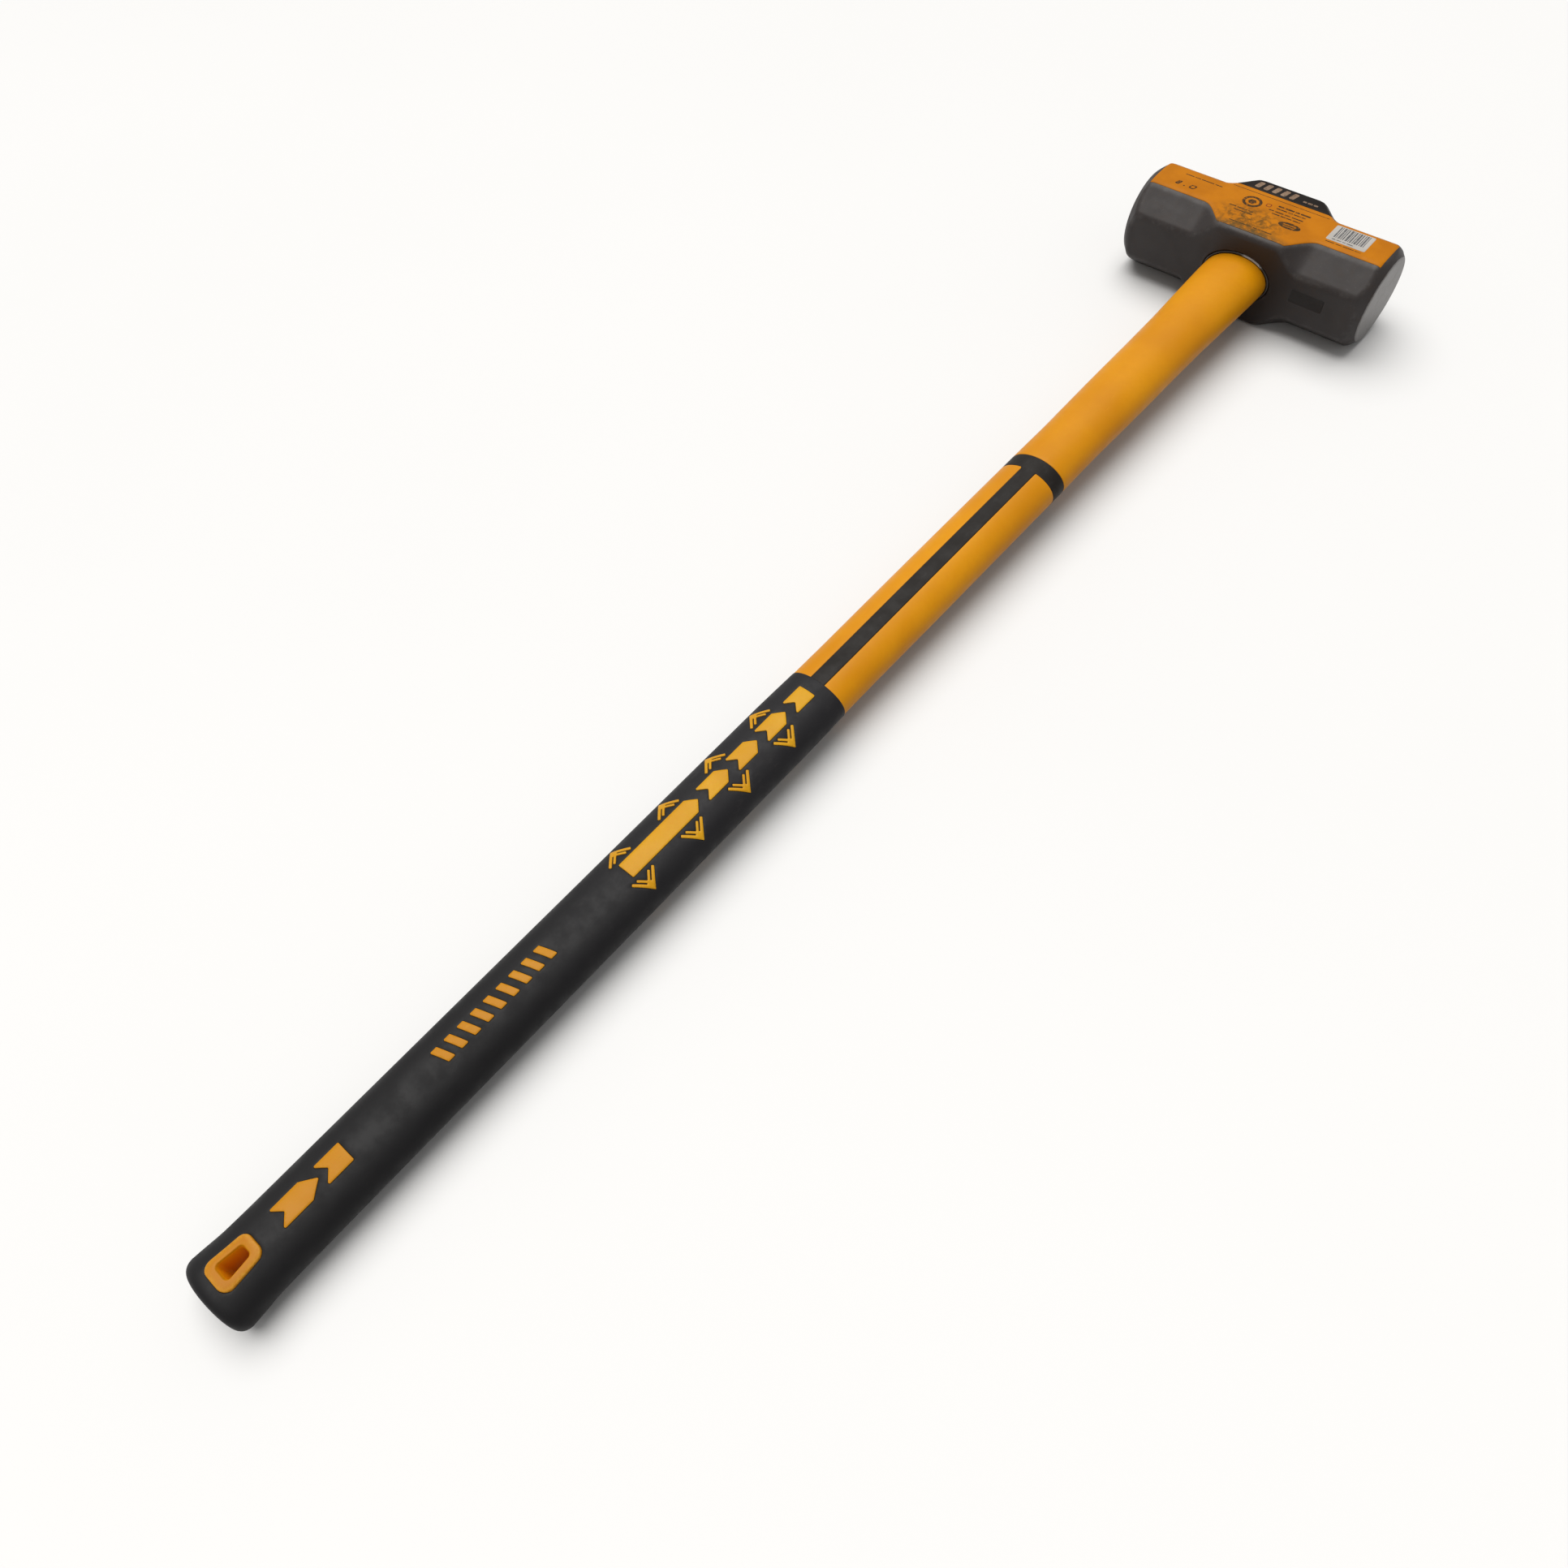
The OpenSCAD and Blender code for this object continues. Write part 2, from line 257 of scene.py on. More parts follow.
def grow(outline, distance):
    """Moves a counterclockwise outline outwards, or inwards if distance is negative."""
    before = outline - np.roll(outline, 1, axis=0)
    after = np.roll(outline, -1, axis=0) - outline
    normals = []
    for edge in (before, after):
        edge = edge / np.maximum(np.linalg.norm(edge, axis=1), 1e-9)[:, None]
        normals.append(np.stack([edge[:, 1], -edge[:, 0]], axis=1))
    total = normals[0] + normals[1]
    scale = 2 / np.maximum(np.sum(total * total, axis=1), 2.0)
    return outline + total * scale[:, None] * distance


def ease(t):
    t = np.clip(t, 0, 1)
    return t * t * (3 - 2 * t)


def rumple(points, size, seed):
    """Smooth noise between -1 and 1 at each point, with lumps of that size."""
    shift = Vector((seed * 17.3, seed * 5.1, seed * 9.7))
    return np.array([noise.noise(Vector(p) / size + shift) for p in points])


# ---------- materials

# Distance from the head to the middle of the butt's inlays, round which the colour is darkened as painted
# shade.
BUTT_SHADE_REACH = 790.0


class Finish:
    """One procedural material: a Principled shader and the nodes that feed it."""

    def __init__(self, name, **constants):
        self.material = bpy.data.materials.new(name)
        self.material.use_nodes = True
        self.tree = self.material.node_tree
        self.shader = self.tree.nodes["Principled BSDF"]
        for socket, value in constants.items():
            self.shader.inputs[socket.replace("_", " ")].default_value = value
        self.place = self.node("ShaderNodeTexCoord", "Object")

    def node(self, kind, output, inputs=(), **settings):
        made = self.tree.nodes.new(kind)
        for key, value in settings.items():
            setattr(made, key, value)
        for key, value in dict(inputs).items():
            if isinstance(value, bpy.types.NodeSocket):
                self.tree.links.new(value, made.inputs[key])
            else:
                made.inputs[key].default_value = value
        return made.outputs[output]

    def to_shader(self, **sockets):
        for name, value in sockets.items():
            self.tree.links.new(value, self.shader.inputs[name.replace("_", " ")])

    def noise(self, size, detail=3.0, roughness=0.5, stretch=(1, 1, 1), distortion=0.0):
        """Noise whose lumps are about size millimetres across."""
        where = self.place
        if stretch != (1, 1, 1):
            where = self.node("ShaderNodeMapping", "Vector", {"Vector": where, "Scale": stretch})
        return self.node("ShaderNodeTexNoise", "Fac", {
            "Vector": where, "Scale": 1 / (size * MM), "Detail": detail,
            "Roughness": roughness, "Distortion": distortion})

    def cells(self, size, output="Distance"):
        return self.node("ShaderNodeTexVoronoi", output,
                         {"Vector": self.place, "Scale": 1 / (size * MM)})

    def span(self, value, low, high, to_low=0.0, to_high=1.0):
        return self.node("ShaderNodeMapRange", "Result", {
            "Value": value, "From Min": low, "From Max": high,
            "To Min": to_low, "To Max": to_high}, interpolation_type="SMOOTHSTEP")

    def math(self, operation, a, b=0.0):
        return self.node("ShaderNodeMath", "Value", {0: a, 1: b}, operation=operation)

    def times(self, a, b):
        return self.math("MULTIPLY", a, b)

    def mix(self, factor, a, b, blend="MIX"):
        """Mixes two colours, given as sockets or as linear RGB."""
        made = self.tree.nodes.new("ShaderNodeMix")
        made.data_type = "RGBA"
        made.blend_type = blend
        for index, value in ((0, factor), (6, a), (7, b)):
            if isinstance(value, bpy.types.NodeSocket):
                self.tree.links.new(value, made.inputs[index])
            else:
                made.inputs[index].default_value = value if index == 0 else (*value, 1)
        return made.outputs[2]

    def attribute(self, name):
        return self.node("ShaderNodeAttribute", "Fac", attribute_name=name)

    def height(self, *layers):
        """Stacks bump layers, each (height socket, strength, millimetres), into a normal."""
        normal = None
        for value, strength, depth in layers:
            inputs = {"Height": value, "Strength": strength, "Distance": depth * MM}
            if normal is not None:
                inputs["Normal"] = normal
            normal = self.node("ShaderNodeBump", "Normal", inputs)
        self.to_shader(Normal=normal)

    def from_point(self, x, y, z, stretch=(1, 1, 1)):
        """Distance in metres from a point given round the middle of the head."""
        spot = (np.array([x, y, z]) + HEAD_MID) * MM
        shifted = self.node("ShaderNodeVectorMath", "Vector",
                            {0: self.place, 1: tuple(-spot)}, operation="ADD")
        scaled = self.node("ShaderNodeVectorMath", "Vector",
                           {0: shifted, 1: stretch}, operation="MULTIPLY")
        return self.node("ShaderNodeVectorMath", "Value", {0: scaled}, operation="LENGTH")


def head_finish():
    """Satin dark paint over forged steel, rubbed on the edges, bare on the striking faces."""
    f = Finish("head_paint_and_steel", Specular_IOR_Level=0.27)
    broad = f.noise(26, 4)
    cloud = f.noise(5, 4, 0.6)
    speck = f.noise(1.1, 2)
    paint = f.mix(broad, (0.018, 0.0145, 0.014), (0.028, 0.0235, 0.0225))
    paint = f.mix(f.span(cloud, 0.45, 0.75, 0, 0.45), paint, (0.028, 0.019, 0.014))
    paint = f.mix(f.span(speck, 0.66, 0.76, 0, 0.5), paint, (0.05, 0.045, 0.042))
    # Painted shade and painted reflection: round the eye, on the block's handle side, the paint turns darker
    # and warm brown, as shade with the yellow jacket reflected in it.
    eye_shade_and_glow = f.span(f.from_point(4, -32, 0, (1, 0.6, 1)), 0.012, 0.040, 0.75, 0)
    paint = f.mix(eye_shade_and_glow, paint, (0.014, 0.0075, 0.0045))
    paint = f.mix(f.times(f.attribute("sunk"), 0.8), paint, (0.006, 0.004, 0.003))
    rubbed = f.times(f.attribute("wear"), f.span(f.noise(5.5, 5, 0.65), 0.42, 0.70))
    paint = f.mix(f.times(rubbed, 0.32), paint, (0.075, 0.068, 0.064))
    scratch = f.noise(7, 3, 0.55, stretch=(0.6, 9, 4))
    steel = f.mix(scratch, (0.105, 0.099, 0.097), (0.19, 0.182, 0.178))
    steel = f.mix(f.span(cloud, 0.5, 0.72, 0, 0.55), steel, (0.09, 0.078, 0.07))
    edge = f.math("ADD", f.attribute("bare"), f.span(f.noise(1.6, 4, 0.6), 0.2, 0.8, -0.25, 0.25))
    bare = f.span(edge, 0.42, 0.58)
    ring_radius = f.times(f.from_point(0, 0, 0, (0, 1, 1)), 2 * math.pi / (0.55 * MM))
    turned = f.times(f.math("SINE", ring_radius), bare)
    shine = f.span(f.noise(9, 4, 0.6), 0.3, 0.7, 0.40, 0.54)
    shine = f.node("ShaderNodeMix", "Result", {0: f.times(bare, 0.8), 2: shine, 3: 0.40})
    f.to_shader(Base_Color=f.mix(bare, paint, steel), Roughness=shine,
                Metallic=f.times(bare, 0.75))
    f.height((f.noise(14, 2), 0.35, 0.35), (f.noise(1.5, 3, 0.55), 0.30, 0.06),
             (f.noise(0.45, 2), 0.22, 0.03), (turned, 0.10, 0.012), (scratch, 0.10, 0.02))
    return f.material


def plastic_finish(name, light, dark, dirt, dirt_share=0.35, wear_colour=None, hole_bounce_colour=None,
                   butt_shade_colour=None):
    """Moulded plastic: slightly uneven colour, scuffs along the handle, fine grain."""
    f = Finish(name, Specular_IOR_Level=0.13, Subsurface_Weight=0.04, Subsurface_Scale=0.002)
    colour = f.mix(f.span(f.noise(55, 3), 0.3, 0.7), dark, light)
    colour = f.mix(f.span(f.noise(4, 4, 0.6), 0.35, 0.7, 0, 0.22), colour, dark)
    if butt_shade_colour:
        # Painted shade: the colour turns darker towards the butt's end of the handle.
        butt_shade = f.span(f.from_point(0, -BUTT_SHADE_REACH, 0), 0.08, 0.26, 0.9, 0)
        colour = f.mix(butt_shade, colour, butt_shade_colour)
    grime = f.span(f.noise(2.2, 6, 0.72, distortion=0.6), 0.63, 0.80, 0, dirt_share)
    colour = f.mix(grime, colour, dirt)
    scuff = f.span(f.noise(3.5, 5, 0.7, stretch=(3.2, 0.35, 3.2)), 0.62, 0.74, 0, 0.28)
    colour = f.mix(scuff, colour, tuple(min(1, c * 1.12 + 0.012) for c in light))
    if wear_colour:
        rim = f.times(f.attribute("wear"), f.span(f.noise(1.4, 4, 0.6), 0.3, 0.65, 0.1, 0.6))
        colour = f.mix(rim, colour, wear_colour)
    # Painted reflection: deep in the hang hole the colour turns a brighter, saturated orange, as if light
    # bounced round inside the yellow plastic.
    if hole_bounce_colour:
        colour = f.mix(f.attribute("deep"), colour, hole_bounce_colour)
    rough = f.math("ADD", f.span(f.noise(12, 5, 0.6), 0.3, 0.7, 0.36, 0.50),
                   f.times(scuff, 0.3))
    f.to_shader(Base_Color=colour, Roughness=rough)
    f.height((f.noise(34, 2), 0.20, 0.4), (f.noise(1.2, 3), 0.16, 0.04), (f.noise(0.35, 2), 0.16, 0.02))
    return f.material


def rubber_finish(name, dark, light):
    """Soft black overmould: matt, dusty in patches, with a fine moulded grain."""
    f = Finish(name, Specular_IOR_Level=0.19)
    colour = f.mix(f.noise(40, 3), dark, light)
    dust = f.span(f.noise(6, 6, 0.68, stretch=(1, 0.4, 1)), 0.52, 0.80, 0, 0.45)
    colour = f.mix(dust, colour, (0.026, 0.024, 0.0235))
    lint = f.span(f.noise(0.9, 3, 0.6), 0.70, 0.78, 0, 0.35)
    colour = f.mix(lint, colour, (0.05, 0.046, 0.044))
    # Painted shade: the rubber turns darker towards the butt's end of the handle.
    butt_shade = f.span(f.from_point(0, -BUTT_SHADE_REACH, 0), 0.06, 0.26, 0.8, 0)
    colour = f.mix(butt_shade, colour, (0.0032, 0.0030, 0.0034))
    rub = f.times(f.attribute("wear"), f.span(f.noise(1.8, 4, 0.6), 0.35, 0.65, 0.1, 0.55))
    colour = f.mix(rub, colour, (0.022, 0.015, 0.010))
    f.to_shader(Base_Color=colour, Roughness=f.span(f.noise(10, 5, 0.6), 0.3, 0.7, 0.50, 0.66))
    f.height((f.noise(22, 2), 0.25, 0.35), (f.cells(0.75), 0.22, 0.05), (f.noise(0.4, 2), 0.25, 0.03))
    return f.material


def stained(f, colour, share):
    """Oily handling marks over the middle and the handle side of the label."""
    reach = f.from_point(-7, -15, 29.5, (0.62, 1.1, 0))
    zone = f.span(reach, 0.004, 0.021, 1, 0)
    rubbed = f.times(zone, f.span(f.noise(4.5, 6, 0.66, distortion=0.8), 0.38, 0.62))
    colour = f.mix(f.times(rubbed, share), colour, (0.062, 0.034, 0.006))
    edge = f.span(f.from_point(-4, -27, 29.5, (0.28, 1.5, 0)), 0.003, 0.012, 1, 0)
    edge = f.times(edge, f.span(f.noise(3.2, 6, 0.7), 0.33, 0.56))
    return f.mix(f.times(edge, 0.8), colour, (0.045, 0.036, 0.012))


def label_finish(name, colours, ink_wear=None):
    """Printed, slightly glossy paper. Ink that is rubbed off lets the paper show."""
    f = Finish(name, Specular_IOR_Level=0.06)
    colour = f.mix(f.span(f.noise(16, 4), 0.3, 0.7), *colours)
    fibre = f.span(f.noise(0.8, 4, 0.65, stretch=(0.5, 1.6, 1)), 0.55, 0.75, 0, 0.16)
    colour = f.mix(fibre, colour, tuple(c * 0.6 for c in colours[0]))
    if ink_wear:
        gone = f.span(f.noise(1.3, 5, 0.7), 0.50, 0.66, 0, 0.75)
        colour = f.mix(gone, colour, ink_wear)
    f.to_shader(Base_Color=stained(f, colour, 0.85),
                Roughness=f.span(f.noise(5, 5, 0.6), 0.3, 0.7, 0.36, 0.56))
    f.height((f.noise(11, 3), 0.35, 0.12), (f.noise(1.6, 4, 0.6), 0.18, 0.03))
    return f.material


def bead_finish():
    """Squeezed-out resin: pale where it was left clean, elsewhere under dark paint."""
    f = Finish("neck_bead_resin", Specular_IOR_Level=0.5)
    clean = f.span(f.from_point(8.5, -30, 15, (0.9, 0.4, 1)), 0.0050, 0.0080, 1, 0)
    clean = f.times(clean, f.span(f.noise(2.2, 4, 0.6), 0.28, 0.48))
    pale = f.mix(f.noise(1.5, 4), (0.22, 0.19, 0.165), (0.33, 0.30, 0.275))
    dark = f.mix(f.noise(3, 4), (0.009, 0.006, 0.0045), (0.024, 0.015, 0.010))
    f.to_shader(Base_Color=f.mix(clean, dark, pale), Roughness=f.span(f.noise(2, 4), 0.3, 0.7, 0.3, 0.55))
    f.height((f.noise(1.4, 4, 0.6), 0.5, 0.15),)
    return f.material


def resin_finish():
    """Cast filler in the eye: cloudy beige with pits, dark dust and trapped bubbles."""
    f = Finish("eye_resin_cast", Specular_IOR_Level=0.5)
    colour = f.mix(f.noise(9, 5, 0.6), (0.20, 0.165, 0.115), (0.33, 0.285, 0.21))
    colour = f.mix(f.span(f.noise(1.4, 5, 0.7), 0.58, 0.72, 0, 0.7), colour, (0.08, 0.06, 0.045))
    pits = f.span(f.cells(3.1), 0.06, 0.16)
    colour = f.mix(pits, (0.05, 0.04, 0.03), colour)
    f.to_shader(Base_Color=colour, Roughness=f.span(f.noise(4, 4), 0.3, 0.7, 0.28, 0.5))
    f.height((pits, 0.6, 0.3), (f.noise(6, 4), 0.4, 0.3))
    return f.material


def fibre_finish():
    """Pultruded glass rod: pale streaks along the handle."""
    f = Finish("fibreglass_streaks", Specular_IOR_Level=0.5)
    streak = f.noise(1.2, 5, 0.7, stretch=(1, 0.04, 1))
    f.to_shader(Base_Color=f.mix(streak, (0.50, 0.45, 0.30), (0.74, 0.70, 0.55)),
                Roughness=f.span(f.noise(3, 3), 0.3, 0.7, 0.3, 0.5))
    f.height((streak, 0.4, 0.1),)
    return f.material


PAPER = ((0.305, 0.098, 0.0008), (0.355, 0.119, 0.0015))
HEAD_FINISH = head_finish()
JACKET_FINISH = plastic_finish("jacket_yellow", (0.457, 0.187, 0.0014), (0.40, 0.153, 0.001),
                               (0.14, 0.06, 0.006))
# The inlays turn darker towards the butt as painted shade.
LAND_FINISH = plastic_finish("land_yellow", (0.45, 0.236, 0.007), (0.38, 0.174, 0.004),
                             (0.11, 0.05, 0.008), dirt_share=0.45, wear_colour=(0.24, 0.11, 0.012),
                             butt_shade_colour=(0.335, 0.132, 0.002))
# The sleeve gets a brighter, saturated orange deep in the hang hole, a painted reflection of light bouncing
# inside it.
PLUG_FINISH = plastic_finish("plug_yellow", (0.345, 0.134, 0.0015), (0.29, 0.100, 0.001),
                             (0.11, 0.045, 0.006), dirt_share=0.4, wear_colour=(0.40, 0.20, 0.02),
                             hole_bounce_colour=(0.66, 0.24, 0.002))
RUBBER_FINISH = rubber_finish("grip_rubber_black", (0.0052, 0.0049, 0.0059), (0.0095, 0.0090, 0.0104))
# The ring and stripes' rubber gets a warm brown tint, a painted reflection of the yellow jacket beside them.
BAND_RUBBER_TINTED_FINISH = rubber_finish("band_rubber_black", (0.0044, 0.0030, 0.0020), (0.0070, 0.0050, 0.0036))
PAPER_FINISH = label_finish("label_paper_orange", PAPER)
INK_FINISH = label_finish("label_ink_dark", ((0.026, 0.015, 0.006), (0.045, 0.022, 0.008)), PAPER[0])
RED_FINISH = label_finish("label_ink_red", ((0.125, 0.022, 0.006), (0.16, 0.03, 0.008)), PAPER[0])
BAND_FINISH = label_finish("band_black", ((0.007, 0.0055, 0.005), (0.013, 0.010, 0.009)))
BLOCK_FINISH = label_finish("band_pale_blocks", ((0.125, 0.078, 0.05), (0.19, 0.13, 0.09)),
                            (0.03, 0.018, 0.01))
STICKER_FINISH = label_finish("sticker_paper_white", ((0.27, 0.255, 0.235), (0.33, 0.315, 0.295)))
STICKER_INK_FINISH = label_finish("sticker_ink_grey", ((0.06, 0.06, 0.063), (0.085, 0.085, 0.088)),
                                  (0.22, 0.21, 0.20))

# ---------- head

CHEEK_FLAT = 26.0
SIDE_FLAT = 30.0
FACE_R = 26.0
BLOCK_HALF = 15.0
RUNOUT = 26.0
BLOCK_EDGE_R = 4.0
CHAMFER_EDGE_R = 2.2
BEVEL_EDGE_R = 1.6
FACE_EDGE_R = 0.8
EYE_HALF = (23.5, 16.2)
EYE_FLARE = 1.4
EYE_COLUMNS = 128
CAST_X = 58.0
HEAD_COLUMNS = 320
FORGE_DEPTH = 0.16
# Under the labels the forging is smoother: how far below the cheek that starts, and over what.
SMOOTH_FROM = 0.8
SMOOTH_OVER = 0.6
# Rubbed edges: their width, the share at the eye's mouths, and how far out that reaches.
EDGE_WEAR_W = 1.3
MOUTH_WEAR = 0.7
MOUTH_BAND = (0.98, 1.09)
# Lumps of the forged surface: (share of the depth, size, seed).
LUMPS = [(0.55, 17, 1), (0.3, 6, 2), (0.15, 2.4, 3)]
# Where the rays to the head's surface start along its axis, and how they tilt towards the face
# after CAST_X: (from, to, points), close together on the run-outs and on the bevel.
RAY_STARTS = [(0, 12, 7), (12, 43, 38), (43, CAST_X, 8)]
RAY_TILTS = [(0, 29, 17), (29, 50, 50), (50, 88, 14)]
CAST_ROUNDS = 36

tilt = math.atan2(HALF_W - CHEEK_FLAT / 2, HALF_H - SIDE_FLAT / 2)
CHAMFER_N = CHEEK_FLAT / 2 * math.cos(tilt) + HALF_H * math.sin(tilt)
CORNER_N = HALF_W * math.cos(tilt) + HALF_H * math.sin(tilt)


def rounded(a, b, radius):
    """Where two half spaces meet, with the edge between them rounded."""
    corner = np.hypot(np.maximum(a + radius, 0), np.maximum(b + radius, 0))
    return corner + np.minimum(np.maximum(a, b) + radius, 0) - radius


def chamfer_at(x):
    """Distance of the long chamfers from the head's axis: they run out into the block."""
    return CHAMFER_N + (CORNER_N + 1 - CHAMFER_N) * ease((BLOCK_HALF + RUNOUT - np.abs(x)) / RUNOUT)


def head_planes(points):
    """Signed distances to the side, cheek, chamfer, bevel and face of the nearest corner."""
    x, y, z = np.abs(points).T
    return [y - HALF_W, z - HALF_H, y * math.cos(tilt) + z * math.sin(tilt) - chamfer_at(x),
            (np.hypot(y, z) + x - FACE_R - HALF_L) / math.sqrt(2), x - HALF_L]


def head_field(points):
    """Negative inside the forged head."""
    side, cheek, chamfer, bevel, face = head_planes(points)
    body = rounded(rounded(side, cheek, BLOCK_EDGE_R), chamfer, CHAMFER_EDGE_R)
    return rounded(body, rounded(bevel, face, FACE_EDGE_R), BEVEL_EDGE_R)


def cast(origins, directions, field, reach=70.0):
    """Where rays that start inside meet the surface."""
    low, high = np.zeros(len(directions)), np.full(len(directions), reach)
    for _ in range(CAST_ROUNDS):
        middle = (low + high) / 2
        within = field(origins + directions * middle[:, None]) < 0
        low, high = np.where(within, middle, low), np.where(within, high, middle)
    return origins + directions * low[:, None]


def joined(spans):
    """Values over spans that follow each other, without the very first one."""
    return np.concatenate([np.linspace(*span)[1:] for span in spans])


def head_rings():
    """(origin along the axis, tilt of the rays) for each ring, from the middle to one face."""
    upright = [(x, 0.0) for x in joined(RAY_STARTS)]
    return [(0.0, 0.0), *upright, *[(CAST_X, math.radians(t)) for t in joined(RAY_TILTS)]]


def forged_head():
    half = head_rings()
    rings = [(-x, -t) for x, t in reversed(half[1:])] + half
    turn = full_turn(HEAD_COLUMNS)
    origins, directions = [], []
    for x, t in rings:
        origins.append(np.tile([x, 0, 0], (HEAD_COLUMNS, 1)))
        across = np.cos(t)
        directions.append(np.stack([np.full(HEAD_COLUMNS, np.sin(t)),
                                    across * np.cos(turn), across * np.sin(turn)], axis=1))
    origins, directions = np.concatenate(origins), np.concatenate(directions)
    points = cast(origins, directions, head_field)
    dents = sum(share * rumple(points, size, seed) for share, size, seed in LUMPS)
    under_label = ease((points[:, 2] - HALF_H + SMOOTH_FROM) / SMOOTH_OVER)
    depth = FORGE_DEPTH * (0.5 + 0.5 * dents) * (1 - 0.8 * under_label)
    points -= directions * depth[:, None]
    faces = grid_faces(len(rings), HEAD_COLUMNS)
    for sign, first in ((-1, 0), (1, (len(rings) - 1) * HEAD_COLUMNS)):
        points = np.vstack([points, [sign * (HALF_L - FORGE_DEPTH / 2), 0, 0]])
        centre = len(points) - 1
        faces += [(first + i, first + (i + 1) % HEAD_COLUMNS, centre) for i in range(HEAD_COLUMNS)]
    return points, faces


def cutter(rings):
    """A closed body through rings of points, used to cut the head."""
    columns = len(rings[0])
    faces = grid_faces(len(rings), columns) + end_faces(len(rings), columns)
    mesh = mesh_from("cutter", np.vstack(rings), faces)
    turn_faces_out(mesh)
    return link_mesh("cutter", mesh)


def eye_cutter():
    """The eye through the head, opening out a little at both mouths."""
    turn = full_turn(EYE_COLUMNS)
    lip = HALF_W - EYE_FLARE
    steps = [lip + EYE_FLARE * math.sin(a) for a in np.linspace(0, math.radians(72), 7)]
    stations = [(y, EYE_FLARE * (1 - math.sqrt(1 - ((y - lip) / EYE_FLARE) ** 2))) for y in steps]
    stations.append((HALF_W + 3, EYE_FLARE + 6))
    stations = [(-y, g) for y, g in reversed(stations)] + stations
    return cutter([np.stack([(EYE_HALF[0] + g) * np.cos(turn), np.full(EYE_COLUMNS, y),
                             (EYE_HALF[1] + g) * np.sin(turn)], axis=1) for y, g in stations])


# The struck panel: middle (x, z) and half sizes. Its rings are (height over the side, growth).
STAMP = (50.0, 2.0, 11.5, 4.5)
STAMP_DEPTH = 0.45
STAMP_CORNER_R = 1.3
STAMP_RINGS = [(-STAMP_DEPTH, -0.45), (0.12 - STAMP_DEPTH, -0.1), (-0.12, 0.15), (0.6, 0.9)]
UNDIVIDED = 1e6


def stamp_cutter():
    """A plain struck panel with sloping sides on the handle side of the head."""
    x, z, half_x, half_z = STAMP
    rings = []
    for out, g in STAMP_RINGS:
        corners = [(-half_x - g, -half_z - g), (half_x + g, -half_z - g),
                   (half_x + g, half_z + g), (-half_x - g, half_z + g)]
        outline = soften(corners, STAMP_CORNER_R, UNDIVIDED, 7)
        y = np.full(len(outline), -HALF_W - out)
        rings.append(np.stack([outline[:, 0] + x, y, outline[:, 1] + z], axis=1))
    return cutter(rings)


def cut(piece, tools):
    """Takes the tools out of a piece and leaves a plain mesh."""
    for tool in tools:
        modifier = piece.modifiers.new("cut", "BOOLEAN")
        modifier.operation = "DIFFERENCE"
        modifier.solver = "EXACT"
        modifier.object = tool
    bpy.context.view_layer.update()
    done = bpy.data.meshes.new_from_object(piece.evaluated_get(bpy.context.evaluated_depsgraph_get()))
    piece.modifiers.clear()
    piece.data = done
    for tool in tools:
        bpy.data.objects.remove(tool)


def head_wear(mesh):
    """Writes how exposed each point is: rubbed edges, and the bare striking faces."""
    p = read_points(mesh)
    side, cheek, chamfer, bevel, face = head_planes(p)
    top = np.sort(np.stack([side, cheek, chamfer, np.maximum(bevel, face)]), axis=0)
    wear = np.exp(-((top[-1] - top[-2]) / EDGE_WEAR_W) ** 2) * (top[-2] > -3)
    oval = np.hypot(p[:, 0] / EYE_HALF[0], p[:, 2] / EYE_HALF[1])
    mouth = (np.abs(p[:, 1]) > HALF_W - EYE_FLARE * 1.1) & (oval > MOUTH_BAND[0]) & (oval < MOUTH_BAND[1])
    wear = np.maximum(wear, MOUTH_WEAR * mouth)
    radius = np.hypot(p[:, 1], p[:, 2])
    bare = ease((np.abs(p[:, 0]) - HALF_L + 1.0) / 0.6) * ease((FACE_R + 0.9 - radius) / 0.8)
    x, z, half_x, half_z = STAMP
    in_panel = (np.abs(p[:, 0] - x) < half_x + 0.4) & (np.abs(p[:, 2] - z) < half_z + 0.4)
    sunk = in_panel & (p[:, 1] < 0) & (p[:, 1] > -HALF_W + 0.3)
    for name, values in (("wear", wear), ("bare", bare), ("sunk", sunk)):
        write_values(mesh, name, values)


def build_head():
    """The forged head with its eye and its struck panel cut out."""
    points, faces = forged_head()
    head = make_piece("forged_head", points, faces, [HEAD_FINISH], ["hammer_head"],
                      weld=False)
    cut(head, [eye_cutter(), stamp_cutter()])
    head_wear(head.data)
    finish_shading(head.data, 32)


# ---------- handle sections

OVAL = 0.667
ring_from, ring_to = along("rubber_ring")
grip_from, _ = along("rubber_grip")
butt_from, butt_to = along("rubber_butt")
stripe_low, stripe_high = node_box("rubber_stripe")
STRIPE_HALF = (stripe_high[0] - stripe_low[0]) / 2
GROOVE = 1.2
SEAM = 0.06
TENON = (19.5, 13.0)
CORE = (13.0, 7.5)
UNDER_RUBBER = (17.2, 10.7)
TENON_FROM = -27.0
TENON_TO = 28.0
# How the jacket rounds off at the eye: (d, half width).
JACKET_MOUTH = [(28.3, 20.4), (28.7, 21.1), (29.3, 21.6), (30.2, 21.95), (31.4, 22.12), (33.2, 22.2)]
ROW_STEP = 2.6

